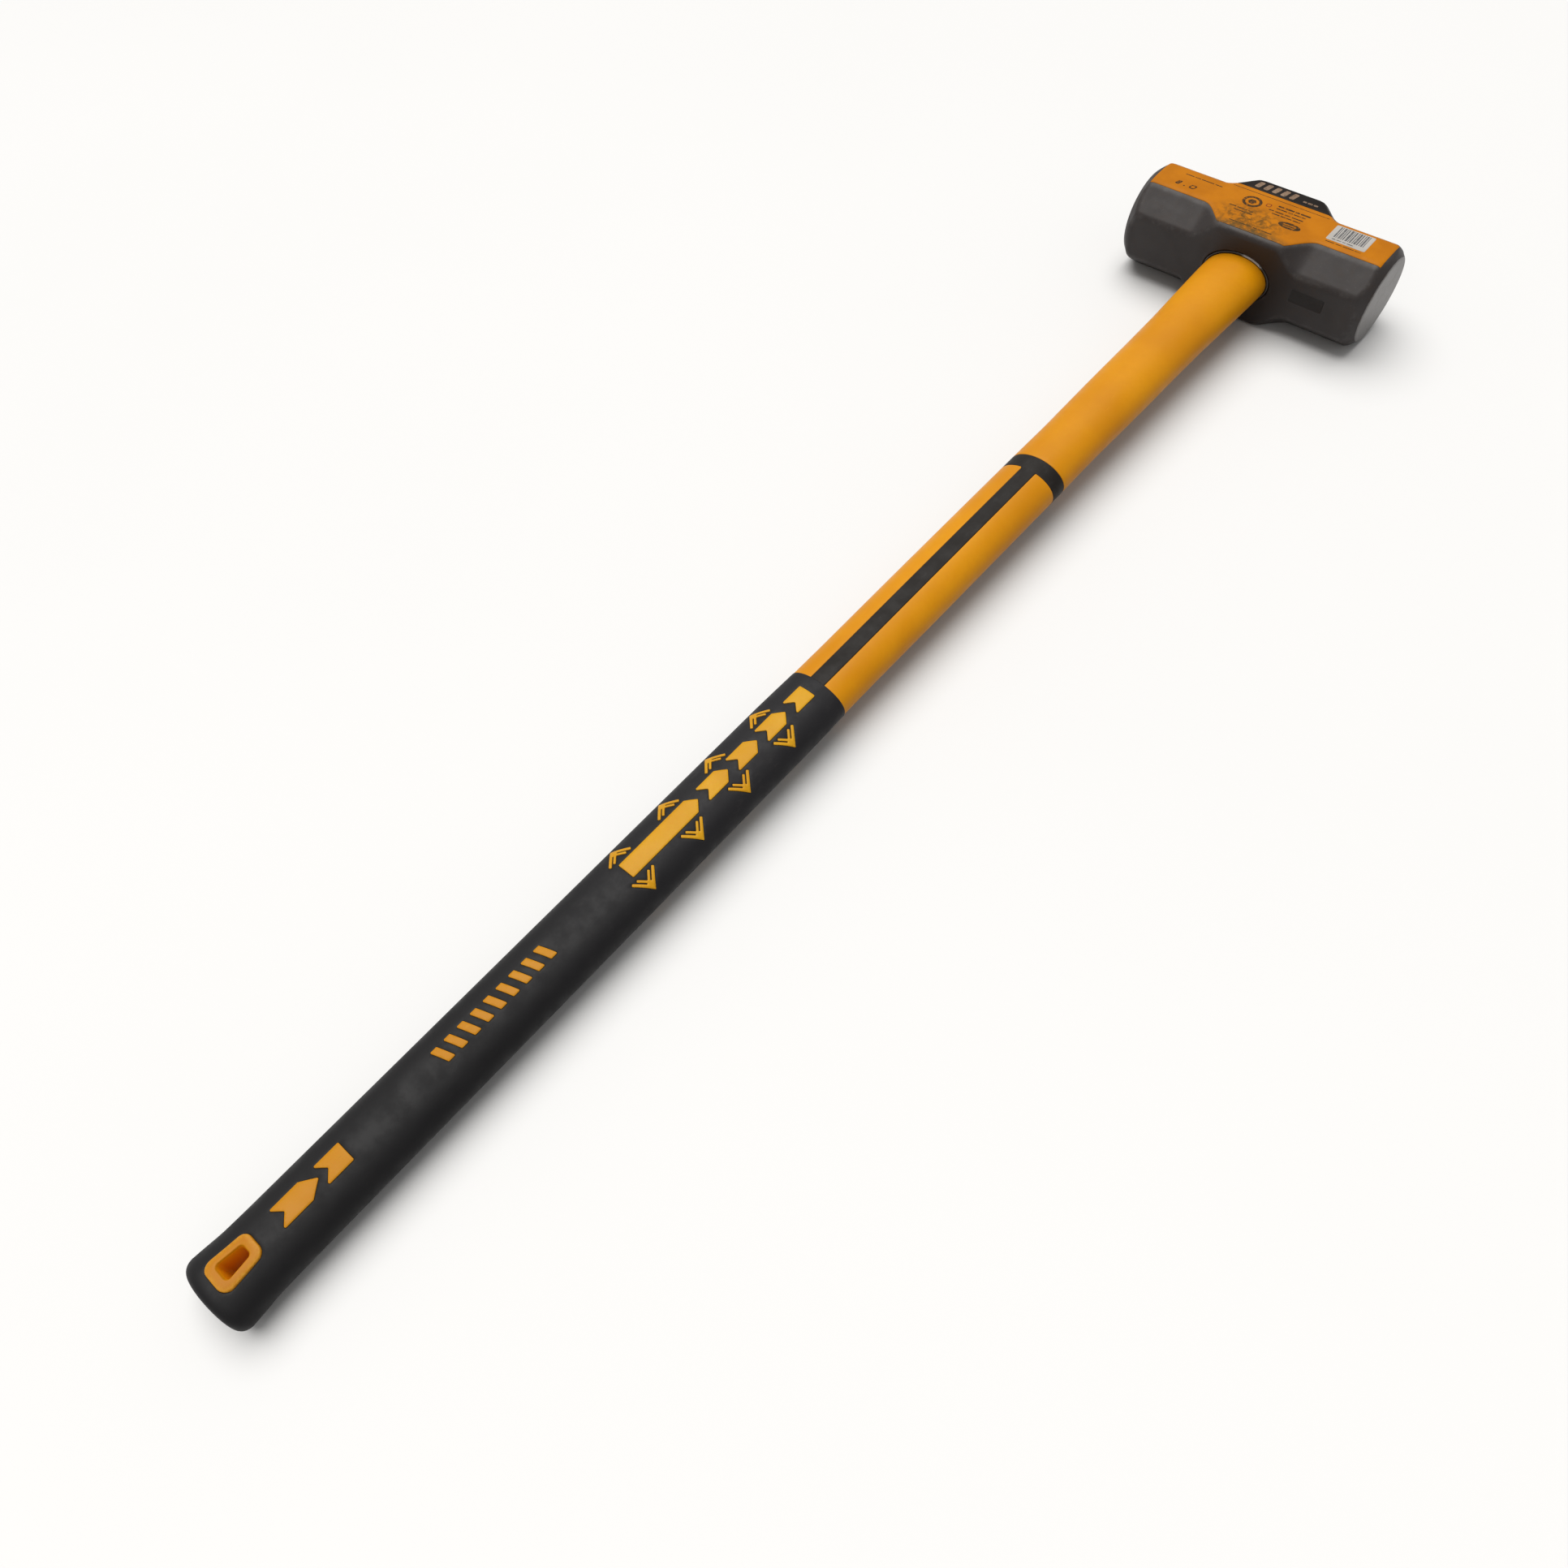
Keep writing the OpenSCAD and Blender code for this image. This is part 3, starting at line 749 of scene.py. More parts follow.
# (d, half width) along the handle.
JACKET_HALF_WIDTHS = [(28, 22.3), (45, 22.1), (62, 21.6), (80, 21), (100, 20.3), (130, 19.9), (170, 19.7),
                      (200, 19.3), (225, 18.9), (ring_from, 19.1), (300, 19.1), (380, 19), (440, 18.7),
                      (grip_from, 18.8)]
BUTT_HALF = 21.0
CROWN_FROM = butt_to - 6.6
CROWN_SQUARENESS = 0.27
GRIP_HALF_WIDTHS = [(grip_from, 19), (grip_from + 14, 19.3), (grip_from + 30, 19.55),
                    (butt_from, 19.45), (butt_to - 22, 19.65), (butt_to - 15, 20.3),
                    (CROWN_FROM, BUTT_HALF), (butt_to, BUTT_HALF)]


class HalfWidths:
    """Half widths along the handle through given points, with the bends smoothed."""

    def __init__(self, given, blur=16.0, step=0.5):
        at, half = np.array(given).T
        self.at = np.arange(at[0], at[-1] + step, step)
        pad = int(blur / step)
        table = np.interp(np.arange(at[0] - blur, at[-1] + step + blur, step), at, half)
        window = np.hanning(2 * pad // 2 + 1)
        smooth = np.convolve(table, window / window.sum(), mode="same")
        self.half = smooth[pad:pad + len(self.at)]

    def __call__(self, d):
        return np.interp(d, self.at, self.half)


jacket_half = HalfWidths(JACKET_HALF_WIDTHS)
grip_half = HalfWidths(GRIP_HALF_WIDTHS, 8.0)


def on_oval(angle, d, half, height=0.0, half_z=None):
    """Points on the oval of a given half width, raised by height along its normal."""
    angle, d = np.broadcast_arrays(np.asarray(angle, float), d)
    half_z = half * OVAL if half_z is None else half_z
    nx, nz = half_z * np.cos(angle), half * np.sin(angle)
    length = np.hypot(nx, nz)
    return np.stack([half * np.cos(angle) + height * nx / length, -d,
                     half_z * np.sin(angle) + height * nz / length], axis=-1)


# ---------- yellow jacket

SIDE_STEPS = 24
LIP_DROPS = [(0.35, 0.0), (0.12, 0.05), (0.0, 0.22)]


def jacket_columns(half):
    """Angles round the jacket and the depth of the stripe's groove at each."""
    edge = math.acos(STRIPE_HALF / half)
    quarter = [(a, 0.0) for a in np.linspace(0, edge - LIP_DROPS[0][0] / half, SIDE_STEPS)]
    quarter += [(edge - back / half, drop) for back, drop in LIP_DROPS[1:]]
    floor = [(a, GROOVE) for a in np.linspace(edge + 0.15 / half, math.pi / 2, 5)]
    top = quarter + floor + [(math.pi - a, drop) for a, drop in reversed(quarter + floor[:-1])]
    full = top + [(a + math.pi, drop) for a, drop in top[1:-1]]
    return np.array(full).T


def jacket_rows():
    """(d, half width, half height or None, depth, with the stripe's groove) of every ring."""
    ring_half, after_half = jacket_half(ring_from), jacket_half(ring_to)
    rows = [(d, *TENON, 0, False) for d in (TENON_FROM, 0, TENON_TO)]
    rows += [(d, half, None, 0, False) for d, half in JACKET_MOUTH]
    rows += [(d, jacket_half(d), None, 0, False) for d in np.arange(36, ring_from - 1, ROW_STEP)]
    rows += [(ring_from - back, ring_half, None, drop, False) for back, drop in LIP_DROPS]
    rows += [(d, jacket_half(d), None, GROOVE, True)
             for d in np.linspace(ring_from + 0.15, ring_to - 0.15, 5)]
    rows += [(ring_to + back, after_half, None, drop, True) for back, drop in reversed(LIP_DROPS)]
    rows += [(d, jacket_half(d), None, 0, True) for d in np.arange(ring_to + 2, grip_from - 0.5, ROW_STEP)]
    rows += [(grip_from + 0.2, jacket_half(grip_from), None, 0, True)]
    rows += [(d, *UNDER_RUBBER, 0, False) for d in (grip_from + 0.6, butt_from)]
    return rows + [(d, *CORE, 0, False) for d in (butt_from, 400, TENON_FROM)]


def build_jacket():
    """The jacket as one closed tube: outside, tenon, recess under the grip, and bore."""
    rows = []
    for d, half, half_z, depth, slotted in jacket_rows():
        angles, groove = jacket_columns(half)
        height = -np.maximum(depth, groove if slotted else 0)
        rows.append(on_oval(angles, d, half, height, half_z))
    faces = grid_faces(len(rows), len(rows[0]), close_rows=True)
    make_piece("jacket_shell", np.vstack(rows), faces, [JACKET_FINISH], ["handle_jacket"],
               sharp_deg=50)


def dress_core():
    """The CAD core is drawn as it is, in a glass-fibre material."""
    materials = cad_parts["fibreglass_core"].data.materials
    materials.clear()
    materials.append(fibre_finish())


# ---------- ring and stripes

# Rounded edge of a rubber strip: (distance in from its edge, depth).
EDGE_DROPS = [(0.0, 1.1), (0.0, 0.26), (0.1, 0.07), (0.35, 0.0)]


def band_profile(low, high, steps):
    """(place across, drop) over a strip of rubber with softly rounded edges."""
    start = [(low + SEAM + into, drop) for into, drop in EDGE_DROPS]
    middle = [(v, 0.0) for v in np.linspace(low + 0.9, high - 0.9, steps)]
    return start + middle + [(high - SEAM - into, drop) for into, drop in reversed(EDGE_DROPS)]


def rim_wear(profile):
    """1 on the rounded edges of a strip, 0 elsewhere."""
    return [0.05 < drop < 0.5 for _, drop in profile]


CORNER_R = 1.6
RING_COLUMNS = 120
# The stripes reach under the ring and the grip, and lie a hair below the jacket's surface.
UNDER_RING = 5
UNDER_GRIP = 2.5
STRIPE_STEP = 2.4
STRIPE_SUNK = 0.012
FILLET_RISE = 0.02


def ring_turn():
    """Angles round the ring, close together where the stripes leave it."""
    edge = math.acos(STRIPE_HALF / jacket_half(ring_to))
    reach = CORNER_R / jacket_half(ring_to)
    near = np.linspace(edge - 1.1 * reach, edge + 0.1 * reach, 9)
    near = np.concatenate([near, math.pi - near, near + math.pi, 2 * math.pi - near])
    even = full_turn(RING_COLUMNS)
    clear = np.abs(even[:, None] - near[None]).min(1) > 0.6 * reach / 8
    return np.sort(np.concatenate([even[clear], near]))


def corner_fill(angle):
    """How far the ring reaches along the jacket to round its corners with the stripes."""
    beside = np.abs(jacket_half(ring_to) * np.cos(angle)) - STRIPE_HALF
    s = np.clip(CORNER_R - beside, 0, CORNER_R)
    return np.where(beside < 0, 0.0, CORNER_R - np.sqrt(CORNER_R ** 2 - s ** 2))


def build_ring():
    turn = ring_turn()
    profile = band_profile(ring_from, ring_to, 5)
    rows = []
    for d, drop in profile:
        fill = corner_fill(turn) if d > ring_to - 1 else 0 * turn
        rows.append(on_oval(turn, d + fill, jacket_half(d), FILLET_RISE * (fill > 0.02) - drop))
    wear = np.repeat(rim_wear(profile), len(turn))
    make_piece("neck_ring", np.vstack(rows), grid_faces(len(profile), len(turn), close_rows=True),
               [BAND_RUBBER_TINTED_FINISH], ["rubber_ring"], wear, sharp_deg=60)


def stripe_points(top):
    """One stripe, from under the ring to under the grip."""
    across = band_profile(-STRIPE_HALF, STRIPE_HALF, 7)
    rows = []
    for d in np.arange(ring_to - UNDER_RING, grip_from + UNDER_GRIP, STRIPE_STEP):
        half = jacket_half(d)
        x, drop = np.array(across).T
        row = on_oval(np.arccos(x / half), d, half, -drop - STRIPE_SUNK)
        row[:, 2] *= 1 if top else -1
        rows.append(row)
    return rows, rim_wear(across)


def build_stripes():
    points, faces, wear = [], [], []
    for top in (True, False):
        rows, rim = stripe_points(top)
        first = sum(len(p) for p in points)
        width = len(rows[0])
        faces += strip_between(rows, first) + end_faces(len(rows), width, first)
        points += rows
        wear += rim * len(rows)
    make_piece("handle_stripes", np.vstack(points), faces, [BAND_RUBBER_TINTED_FINISH],
               ["rubber_stripe"], wear, sharp_deg=60)


# ---------- lands in the grip

ARROW_HALF = 5.3
BUTT_ARROW_HALF = 5.9
BUTT_ARROW_POINT = 7.8
BUTT_ARROW_L = 24.5
ARROW_POINT = 5.4
ARROW_NOTCH = 5.2
FLAG_L = 15.2
ARROW_L = 20.4
LONG_ARROW_L = 53.5
FIRST_FLAG_D = 473.0
FIRST_ARROW_D = 491.0
ARROW_PITCH = 23.0
BUTT_FLAG_D = 794.5
BUTT_ARROW_D = 810.0
CHEVRON_D = 502.3
CHEVRON_PITCH = 35.8
# Upper half of the chevrons that point away from the middle line: (across, along).
CHEVRON = [(16.2, 0), (8.2, 8), (7.1, 6.9), (12.3, 1.6), (11.8, 1.1), (8.3, 4.7), (7.3, 3.8), (11.1, 0)]
BARS_D = 666.0
BAR_PITCH = 8.3
BAR_HALF = 5.0
BAR_W = 4.2
BAR_LEAN = 3.4
LAND_PROUD = 0.3


def flag_arrow(d, half):
    end = d + FLAG_L
    return [(-half, d), (half, d), (half, end), (0, end - ARROW_NOTCH), (-half, end)]


def pointed_arrow(d, half, point, total):
    end = d + total
    return [(0, d), (half, d + point), (half, end), (0, end - ARROW_NOTCH), (-half, end), (-half, d + point)]


def long_arrow(d, half):
    end = d + LONG_ARROW_L
    return [(0, d), (half, d + ARROW_POINT), (half, end), (-half, end), (-half, d + ARROW_POINT)]


def chevron(d, side):
    corners = CHEVRON + [(x, -y) for x, y in reversed(CHEVRON[1:-1])]
    return [(side * x, d + y) for x, y in corners]


def slanted_bar(d):
    start = d + BAR_LEAN
    return [(-BAR_HALF, start), (BAR_HALF, d), (BAR_HALF, d + BAR_W), (-BAR_HALF, start + BAR_W)]


ARROWS = [flag_arrow(FIRST_FLAG_D, ARROW_HALF), flag_arrow(BUTT_FLAG_D, BUTT_ARROW_HALF),
          pointed_arrow(BUTT_ARROW_D, BUTT_ARROW_HALF, BUTT_ARROW_POINT, BUTT_ARROW_L),
          long_arrow(FIRST_ARROW_D + 3 * ARROW_PITCH, ARROW_HALF)]
ARROWS += [pointed_arrow(FIRST_ARROW_D + i * ARROW_PITCH, ARROW_HALF, ARROW_POINT, ARROW_L)
           for i in range(3)]
CHEVRONS = [chevron(CHEVRON_D + i * CHEVRON_PITCH, side) for i in range(4) for side in (-1, 1)]
BARS = [slanted_bar(BARS_D + i * BAR_PITCH) for i in range(9)]
# Piece, CAD node, outlines and the radius of their corners.
LANDS = [("grip_arrows", "arrow_lands", ARROWS, 0.7), ("grip_chevrons", "chevron_lands", CHEVRONS, 0.45),
         ("grip_slanted_bars", "bar_lands", BARS, 0.6)]

# Millimetres along the unrolled grip for each radian of the oval's angle.
UNROLL = 19.5
# Rims of a land and of its pocket: (distance from the outline, height or depth).
LAND_RISES = [(0.0, 0.10), (0.05, 0.22), (0.14, LAND_PROUD)]
LAND_BASE = -0.8
LAND_STEP = 1.3
LAND_CLEAR = 0.55
OUTLINE_STEP = 0.9
POCKET_DROPS = [(0.30, 0.0), (0.18, 0.06), (0.09, 0.22)]
POCKET_FLOOR = -1.0


def unrolled(corners, radius):
    """An outline given as (x, d), laid out flat on the unrolled grip."""
    outline = soften(corners, radius, OUTLINE_STEP)
    half = grip_half(outline[:, 1])
    flat = np.stack([np.arccos(np.clip(outline[:, 0] / half, -1, 1)) * UNROLL, outline[:, 1]], axis=1)
    return turn_counterclockwise(flat)


def rolled(flat, height):
    """Flat points back on the upper side of the grip, raised by height."""
    u, d = np.asarray(flat, float).T
    return on_oval(u / UNROLL, d, grip_half(d), height)


def land_mesh(outline):
    """One raised land with a rounded rim, closed underneath."""
    loops = [grow(outline, -inset) for inset, _ in LAND_RISES]
    filling = lattice(outline.min(0), outline.max(0), LAND_STEP)
    filling = away_from(filling[inside(loops[-1], filling)], loops[-1], LAND_CLEAR)
    count = len(outline)
    flat = np.vstack([*loops, filling])
    height = np.concatenate([np.repeat([rise for _, rise in LAND_RISES], count),
                             np.full(len(filling), LAND_PROUD)])
    found = triangles(flat, [range(i * count, (i + 1) * count) for i in range(len(loops))])
    top = found[inside(outline, flat[found].mean(1))]
    under = filled(outline) + len(flat)
    points = np.vstack([rolled(flat, height), rolled(outline, LAND_BASE)])
    wall = wall_faces(range(count), range(len(flat), len(flat) + count))
    wear = np.zeros(len(points))
    wear[:2 * count] = 1
    return points, [*top.tolist(), *under.tolist(), *wall], wear


def land_piece(name, replaced, shapes, radius):
    """Every land of one kind, on both broad sides of the grip."""
    points, faces, wear = [], [], []
    total = 0
    for shape in shapes:
        p, f, w = land_mesh(unrolled(shape, radius))
        for flip in (1, -1):
            points.append(p * [1, 1, flip])
            faces += [[total + i for i in face] for face in f]
            wear.append(w)
            total += len(p)
    make_piece(name, np.vstack(points), faces, [LAND_FINISH], [replaced],
               np.concatenate(wear), sharp_deg=60, weld=False)


def build_lands():
    for land in LANDS:
        land_piece(*land)


# ---------- hang hole

HOLE_D = 857.0
# Width at the head's end, width at the butt's end and length.
HOLE = (5.6, 8.4, 12.5)
SURROUND = (14.0, 18.4, 23.0)
RIM_PROUD = 1.0


def trapezoid(w_head, w_butt, length, radius):
    """Rounded trapezoid round the hang hole, always with the same number of points."""
    corners = [(-w_head / 2, HOLE_D - length / 2), (w_head / 2, HOLE_D - length / 2),
               (w_butt / 2, HOLE_D + length / 2), (-w_butt / 2, HOLE_D + length / 2)]
    outline = soften(corners, radius, UNDIVIDED, 9)
    after = np.roll(outline, -1, axis=0)
    return np.vstack([np.linspace(a, b, 6)[:-1] for a, b in zip(outline, after)])


hole_outline = trapezoid(*HOLE, 1.6)
surround_outline = trapezoid(*SURROUND, 4.6)

# ---------- rubber grip and butt

GRIP_COLUMNS = 56
SKIN_FROM = grip_from + 0.45
SKIN_TO = CROWN_FROM - 0.5
SKIN_STEP = 2
# How far the skin's filling points stay clear of a land's outline.
POCKET_CLEAR = 0.42
POCKET_GAP = 0.75
# Angles of the rings of the butt's crown, close together where it closes.
CROWN_LEANS = [10, 20, 30, 39, 47, 54, 60, 65, 70, 74, 78, 81, 84, 86, 87.5, 88.7, 89.4, 89.8, 89.97]


def grip_skin():
    """The upper half of the grip's skin, with a pocket for each land and for the hang hole."""
    angles = np.linspace(0, math.pi, GRIP_COLUMNS + 1)
    rows = np.linspace(SKIN_FROM, SKIN_TO, int((SKIN_TO - SKIN_FROM) / SKIN_STEP) + 1)
    across = angles * UNROLL
    border = [(0, d) for d in rows[:-1]] + [(u, rows[-1]) for u in across[:-1]]
    border += [(across[-1], d) for d in rows[:0:-1]] + [(u, rows[0]) for u in across[:0:-1]]
    filling = np.array([(u, d) for d in rows[1:-1] for u in across[1:-1]])
    outlines = [unrolled(shape, radius) for _, _, shapes, radius in LANDS for shape in shapes]
    outlines.append(unrolled(surround_outline, 0.01))
    flat, height, loops = [np.array(border)], [np.zeros(len(border))], [list(range(len(border)))]
    total = len(border)
    rims = []
    for outline in outlines:
        count = len(outline)
        for gap, drop in POCKET_DROPS:
            loop = grow(outline, gap)
            flat.append(loop)
            height.append(np.full(count, -drop))
            loops.append(list(range(total, total + count)))
            total += count
        rims.append(loops[-1])
        clear = grow(outline, POCKET_CLEAR)
        filling = away_from(filling, clear, POCKET_GAP)
        filling = filling[~inside(clear, filling)]
    flat = np.vstack([*flat, filling])
    height = np.concatenate([*height, np.zeros(len(filling))])
    found = triangles(flat, loops)
    pocketed = np.zeros(len(found), bool)
    for rim in rims:
        pocketed |= inside(flat[rim], flat[found].mean(1))
    points = [rolled(flat, height)]
    faces = found[~pocketed].tolist()
    total = len(flat)
    wear = ((height < -0.01) * 1.0).tolist()
    for rim in rims[:-1]:
        count = len(rim)
        points.append(rolled(flat[rim], POCKET_FLOOR))
        wear += [0.0] * count
        faces += wall_faces(rim, range(total, total + count))
        faces += (filled(flat[rim]) + total).tolist()
        total += count
    return np.vstack(points), faces, wear, rims[-1]


def ring_of(d, half, height=0.0, half_z=None):
    """A ring of points that meets the borders of both halves of the skin."""
    top = np.linspace(0, math.pi, GRIP_COLUMNS + 1)
    return on_oval(np.concatenate([top, -top[-2:0:-1]]), d, half, height, half_z)


def front_rings():
    """From the skin's first ring, over the grip's rounded lip, to the recess under the butt."""
    half, height = UNDER_RUBBER
    rings = [ring_of(SKIN_FROM, grip_half(SKIN_FROM)), ring_of(grip_from + 0.15, grip_half(grip_from), -0.05)]
    rings += [ring_of(grip_from, grip_half(grip_from), rise) for rise in (-0.18, -0.6)]
    return rings + [ring_of(d, half, 0, height) for d in (grip_from, 650, butt_from)]


def crown_rings():
    """From the skin's last ring over the butt's crown."""
    rings = [ring_of(SKIN_TO, grip_half(SKIN_TO)), ring_of(CROWN_FROM, BUTT_HALF)]
    for lean in np.radians(CROWN_LEANS):
        d = CROWN_FROM + (butt_to - CROWN_FROM) * math.sin(lean)
        rings.append(ring_of(d, BUTT_HALF * math.cos(lean) ** CROWN_SQUARENESS))
    return rings


def build_grip():
    """Both halves of the skin, the tunnel for the sleeve, the front lip and the crown."""
    upper, skin_faces, skin_wear, tunnel = grip_skin()
    count = len(upper)
    points = [upper, upper * [1, 1, -1]]
    faces = skin_faces + [[count + i for i in reversed(f)] for f in skin_faces]
    faces += wall_faces(tunnel, np.array(tunnel) + count)
    wear = skin_wear * 2
    total = 2 * count
    for rings in (front_rings(), crown_rings()):
        columns = len(rings[0])
        faces += strip_between(rings, total)
        faces.append(end_faces(len(rings), columns, total)[1])
        total += columns * len(rings)
        points += rings
        wear += [0.0] * (columns * len(rings))
    make_piece("grip_rubber", np.vstack(points), faces, [RUBBER_FINISH],
               ["rubber_grip", "rubber_butt"], wear, sharp_deg=55)


# ---------- hang hole sleeve

# Across the sleeve's rim: (share of the way from the hole to the outer edge, height over the butt).
SLEEVE_ROWS = [(1.0, -6.0), (1.0, -0.5), (1.0, 0.35), (0.985, 0.66), (0.95, 0.88), (0.89, 1.0), (0.5, 0.95),
               (0.24, 0.9), (0.19, 0.83), (0.14, 0.62), (0.10, 0.25), (0.07, -0.4), (0.04, -1.6), (0.0, -4.5)]


def butt_height(outline):
    """Height of the butt's surface over the handle's middle plane."""
    half = grip_half(outline[:, 1])
    return half * OVAL * np.sqrt(np.maximum(0, 1 - (outline[:, 0] / half) ** 2))


def build_sleeve():
    """The hang hole's yellow sleeve, with its raised rim on both broad sides."""
    rows, wear = [], []
    for share, rise in SLEEVE_ROWS:
        outline = (1 - share) * hole_outline + share * surround_outline
        rows.append(np.stack([outline[:, 0], -outline[:, 1], butt_height(outline) + rise], axis=1))
        wear += [1.0 if share > 0.86 and rise > 0 else 0.0] * len(outline)
    middle = rows[-1] * [1, 1, 0]
    rows = rows + [middle] + [r * [1, 1, -1] for r in reversed(rows)]
    wear = wear + [0.0] * len(middle) + wear[::-1]
    faces = grid_faces(len(rows), len(middle), close_rows=True)
    sleeve = make_piece("hang_hole_sleeve", np.vstack(rows), faces, [PLUG_FINISH],
                        ["butt_plug"], wear, sharp_deg=60)
    place = read_points(sleeve.data)
    rise = np.abs(place[:, 2]) - butt_height(np.stack([place[:, 0], -place[:, 1]], axis=1))
    # How far into the hang hole a point lies, which sets the share of painted bounce reflection.
    write_values(sleeve.data, "deep", ease((0.6 - rise) / 0.9))


# ---------- resin in the eye

RESIN_COLUMNS = 96
TENON_SNUG = 1.003
# Where the resin ends, behind the tenon and at the handle's side of the eye.
TENON_END_Y = 27.1
RESIN_FROM_Y = -27.5
# The cast cap on the far side, sunk below the eye's mouth: (share of the eye, y).
RESIN_CAP = [(1.0, 29.25), (0.97, 28.75), (0.93, 28.45), (0.86, 28.3), (0.72, 28.35), (0.55, 28.5),
             (0.36, 28.6), (0.18, 28.65), (0.06, 28.65)]
EYE_GAP = 0.02


def eye_oval(y, share, size):
    half_x, half_z = size
    turn = full_turn(RESIN_COLUMNS)
    return np.stack([half_x * share * np.cos(turn), np.full(RESIN_COLUMNS, y),
                     half_z * share * np.sin(turn)], axis=1)


def build_resin():
    """The filler round the tenon, closed by an uneven cap on the far side."""
    wall = (EYE_HALF[0] - EYE_GAP, EYE_HALF[1] - EYE_GAP)
    rows = [eye_oval(TENON_END_Y, share, TENON) for share in (0.05, 0.6, TENON_SNUG)]
    rows += [eye_oval(RESIN_FROM_Y, TENON_SNUG, TENON)]
    rows += [eye_oval(y, 1.0, wall) for y in (RESIN_FROM_Y, 0)]
    for share, y in RESIN_CAP:
        row = eye_oval(y, share, wall)
        row[:, 1] += 0.22 * rumple(row, 4, 5) * min(1, (1.04 - share) * 8)
        rows.append(row)
    faces = grid_faces(len(rows), RESIN_COLUMNS) + end_faces(len(rows), RESIN_COLUMNS)
    make_piece("eye_resin_fill", np.vstack(rows), faces, [resin_finish()], ["eye_resin"],
               sharp_deg=60)


# ---------- bead where the handle enters

BEAD_COLUMNS = 160
BEAD_ROWS = 14
# Half axes of the bead's middle line, its place, and the bead's own radius without ripple.
BEAD_HALF = (22.75, 15.45)
BEAD_Y = -29.15
BEAD_R = 0.78
BEAD_RIPPLE = 0.22


def build_bead():
    """An uneven bead of resin round the handle at the eye's mouth."""
    turn = full_turn(BEAD_COLUMNS)
    half_x, half_z = BEAD_HALF
    ripple = rumple(np.stack([20 * np.cos(turn), 20 * np.sin(turn), 0 * turn], 1), 5, 7)
    size = BEAD_R + BEAD_RIPPLE * ripple
    points = []
    for a in full_turn(BEAD_ROWS):
        out = size * math.cos(a)
        y = BEAD_Y - 0.1 * ripple - size * math.sin(a)
        points.append(np.stack([(half_x + out) * np.cos(turn), y, (half_z + out) * np.sin(turn)], axis=1))
    make_piece("neck_bead_ring", np.vstack(points), grid_faces(BEAD_ROWS, BEAD_COLUMNS, close_rows=True),
               [bead_finish()], ["neck_bead"], sharp_deg=80)


# ---------- labels on the upper cheek

LABEL_T = 0.24
LABEL_MARGIN = 0.35
LABEL_END = 81.5
BAND_Y = 15.8
BAND_GAP = 0.25
BLOCK_LABEL_HALF = 27.0
# A sheet's rounded rim: how wide it is and how far it drops. Its underside lies in the cheek.
RIM_W = 0.16
RIM_DROP = 0.09
SHEET_SUNK = 0.25
# How far a sheet's filling points stay clear of its rim and of its marks.
SHEET_CLEAR = 0.6
MARK_CLEAR = 0.3
WORD_GAP = 0.7
# The sticker lies on the label. A label's front or back that is BEYOND follows the cheek's edge.
STICKER_LIFT = 0.13
BEYOND = 99
# Triangles whose middle lies this close to a label's outline are slivers of the outline itself.
BORDER_HAIR = 0.0001


def cheek_half(x):
    """Half width of the flat cheek at x."""
    edge = (chamfer_at(x) - HALF_H * math.sin(tilt)) / math.cos(tilt)
    return np.minimum(BLOCK_LABEL_HALF, edge)


def cheek_z(flat):
    """Height of the upper cheek's surface, which the paper follows."""
    origins = np.column_stack([flat, np.zeros(len(flat))])
    up = np.tile([0.0, 0.0, 1.0], (len(flat), 1))
    return cast(origins, up, head_field)[:, 2]


def cheek_outline(end, front, back, radius):
    """Outline of a label on the cheek, between two lines along the head."""
    xs = np.linspace(-end, end, 2 * int(end) + 1)
    low = np.maximum(front, LABEL_MARGIN - cheek_half(xs))
    high = np.minimum(back, cheek_half(xs) - LABEL_MARGIN)
    keep = high - low > 0.4
    xs, low, high = xs[keep], low[keep], high[keep]
    return soften([*zip(xs, low), *zip(xs[::-1], high[::-1])], radius, 1.2, 3)


def box_mark(x, y, w, h, lean=0.0, corner=None):
    corners = [(x - w / 2 - lean, y - h / 2), (x + w / 2 - lean, y - h / 2),
               (x + w / 2 + lean, y + h / 2), (x - w / 2 + lean, y + h / 2)]
    return soften(corners, corner or min(w, h) * 0.25, 1.5, 3)


def oval_mark(x, y, rx, ry, count=28):
    a = full_turn(count)
    return np.stack([x + rx * np.cos(a), y + ry * np.sin(a)], axis=1)


def line_of_marks(x, y, words, h):
    """A plain row of short bars, in place of a line of print."""
    out = []
    for w in words:
        out.append([box_mark(x + w / 2, y, w, h)])
        x += w + WORD_GAP
    return out


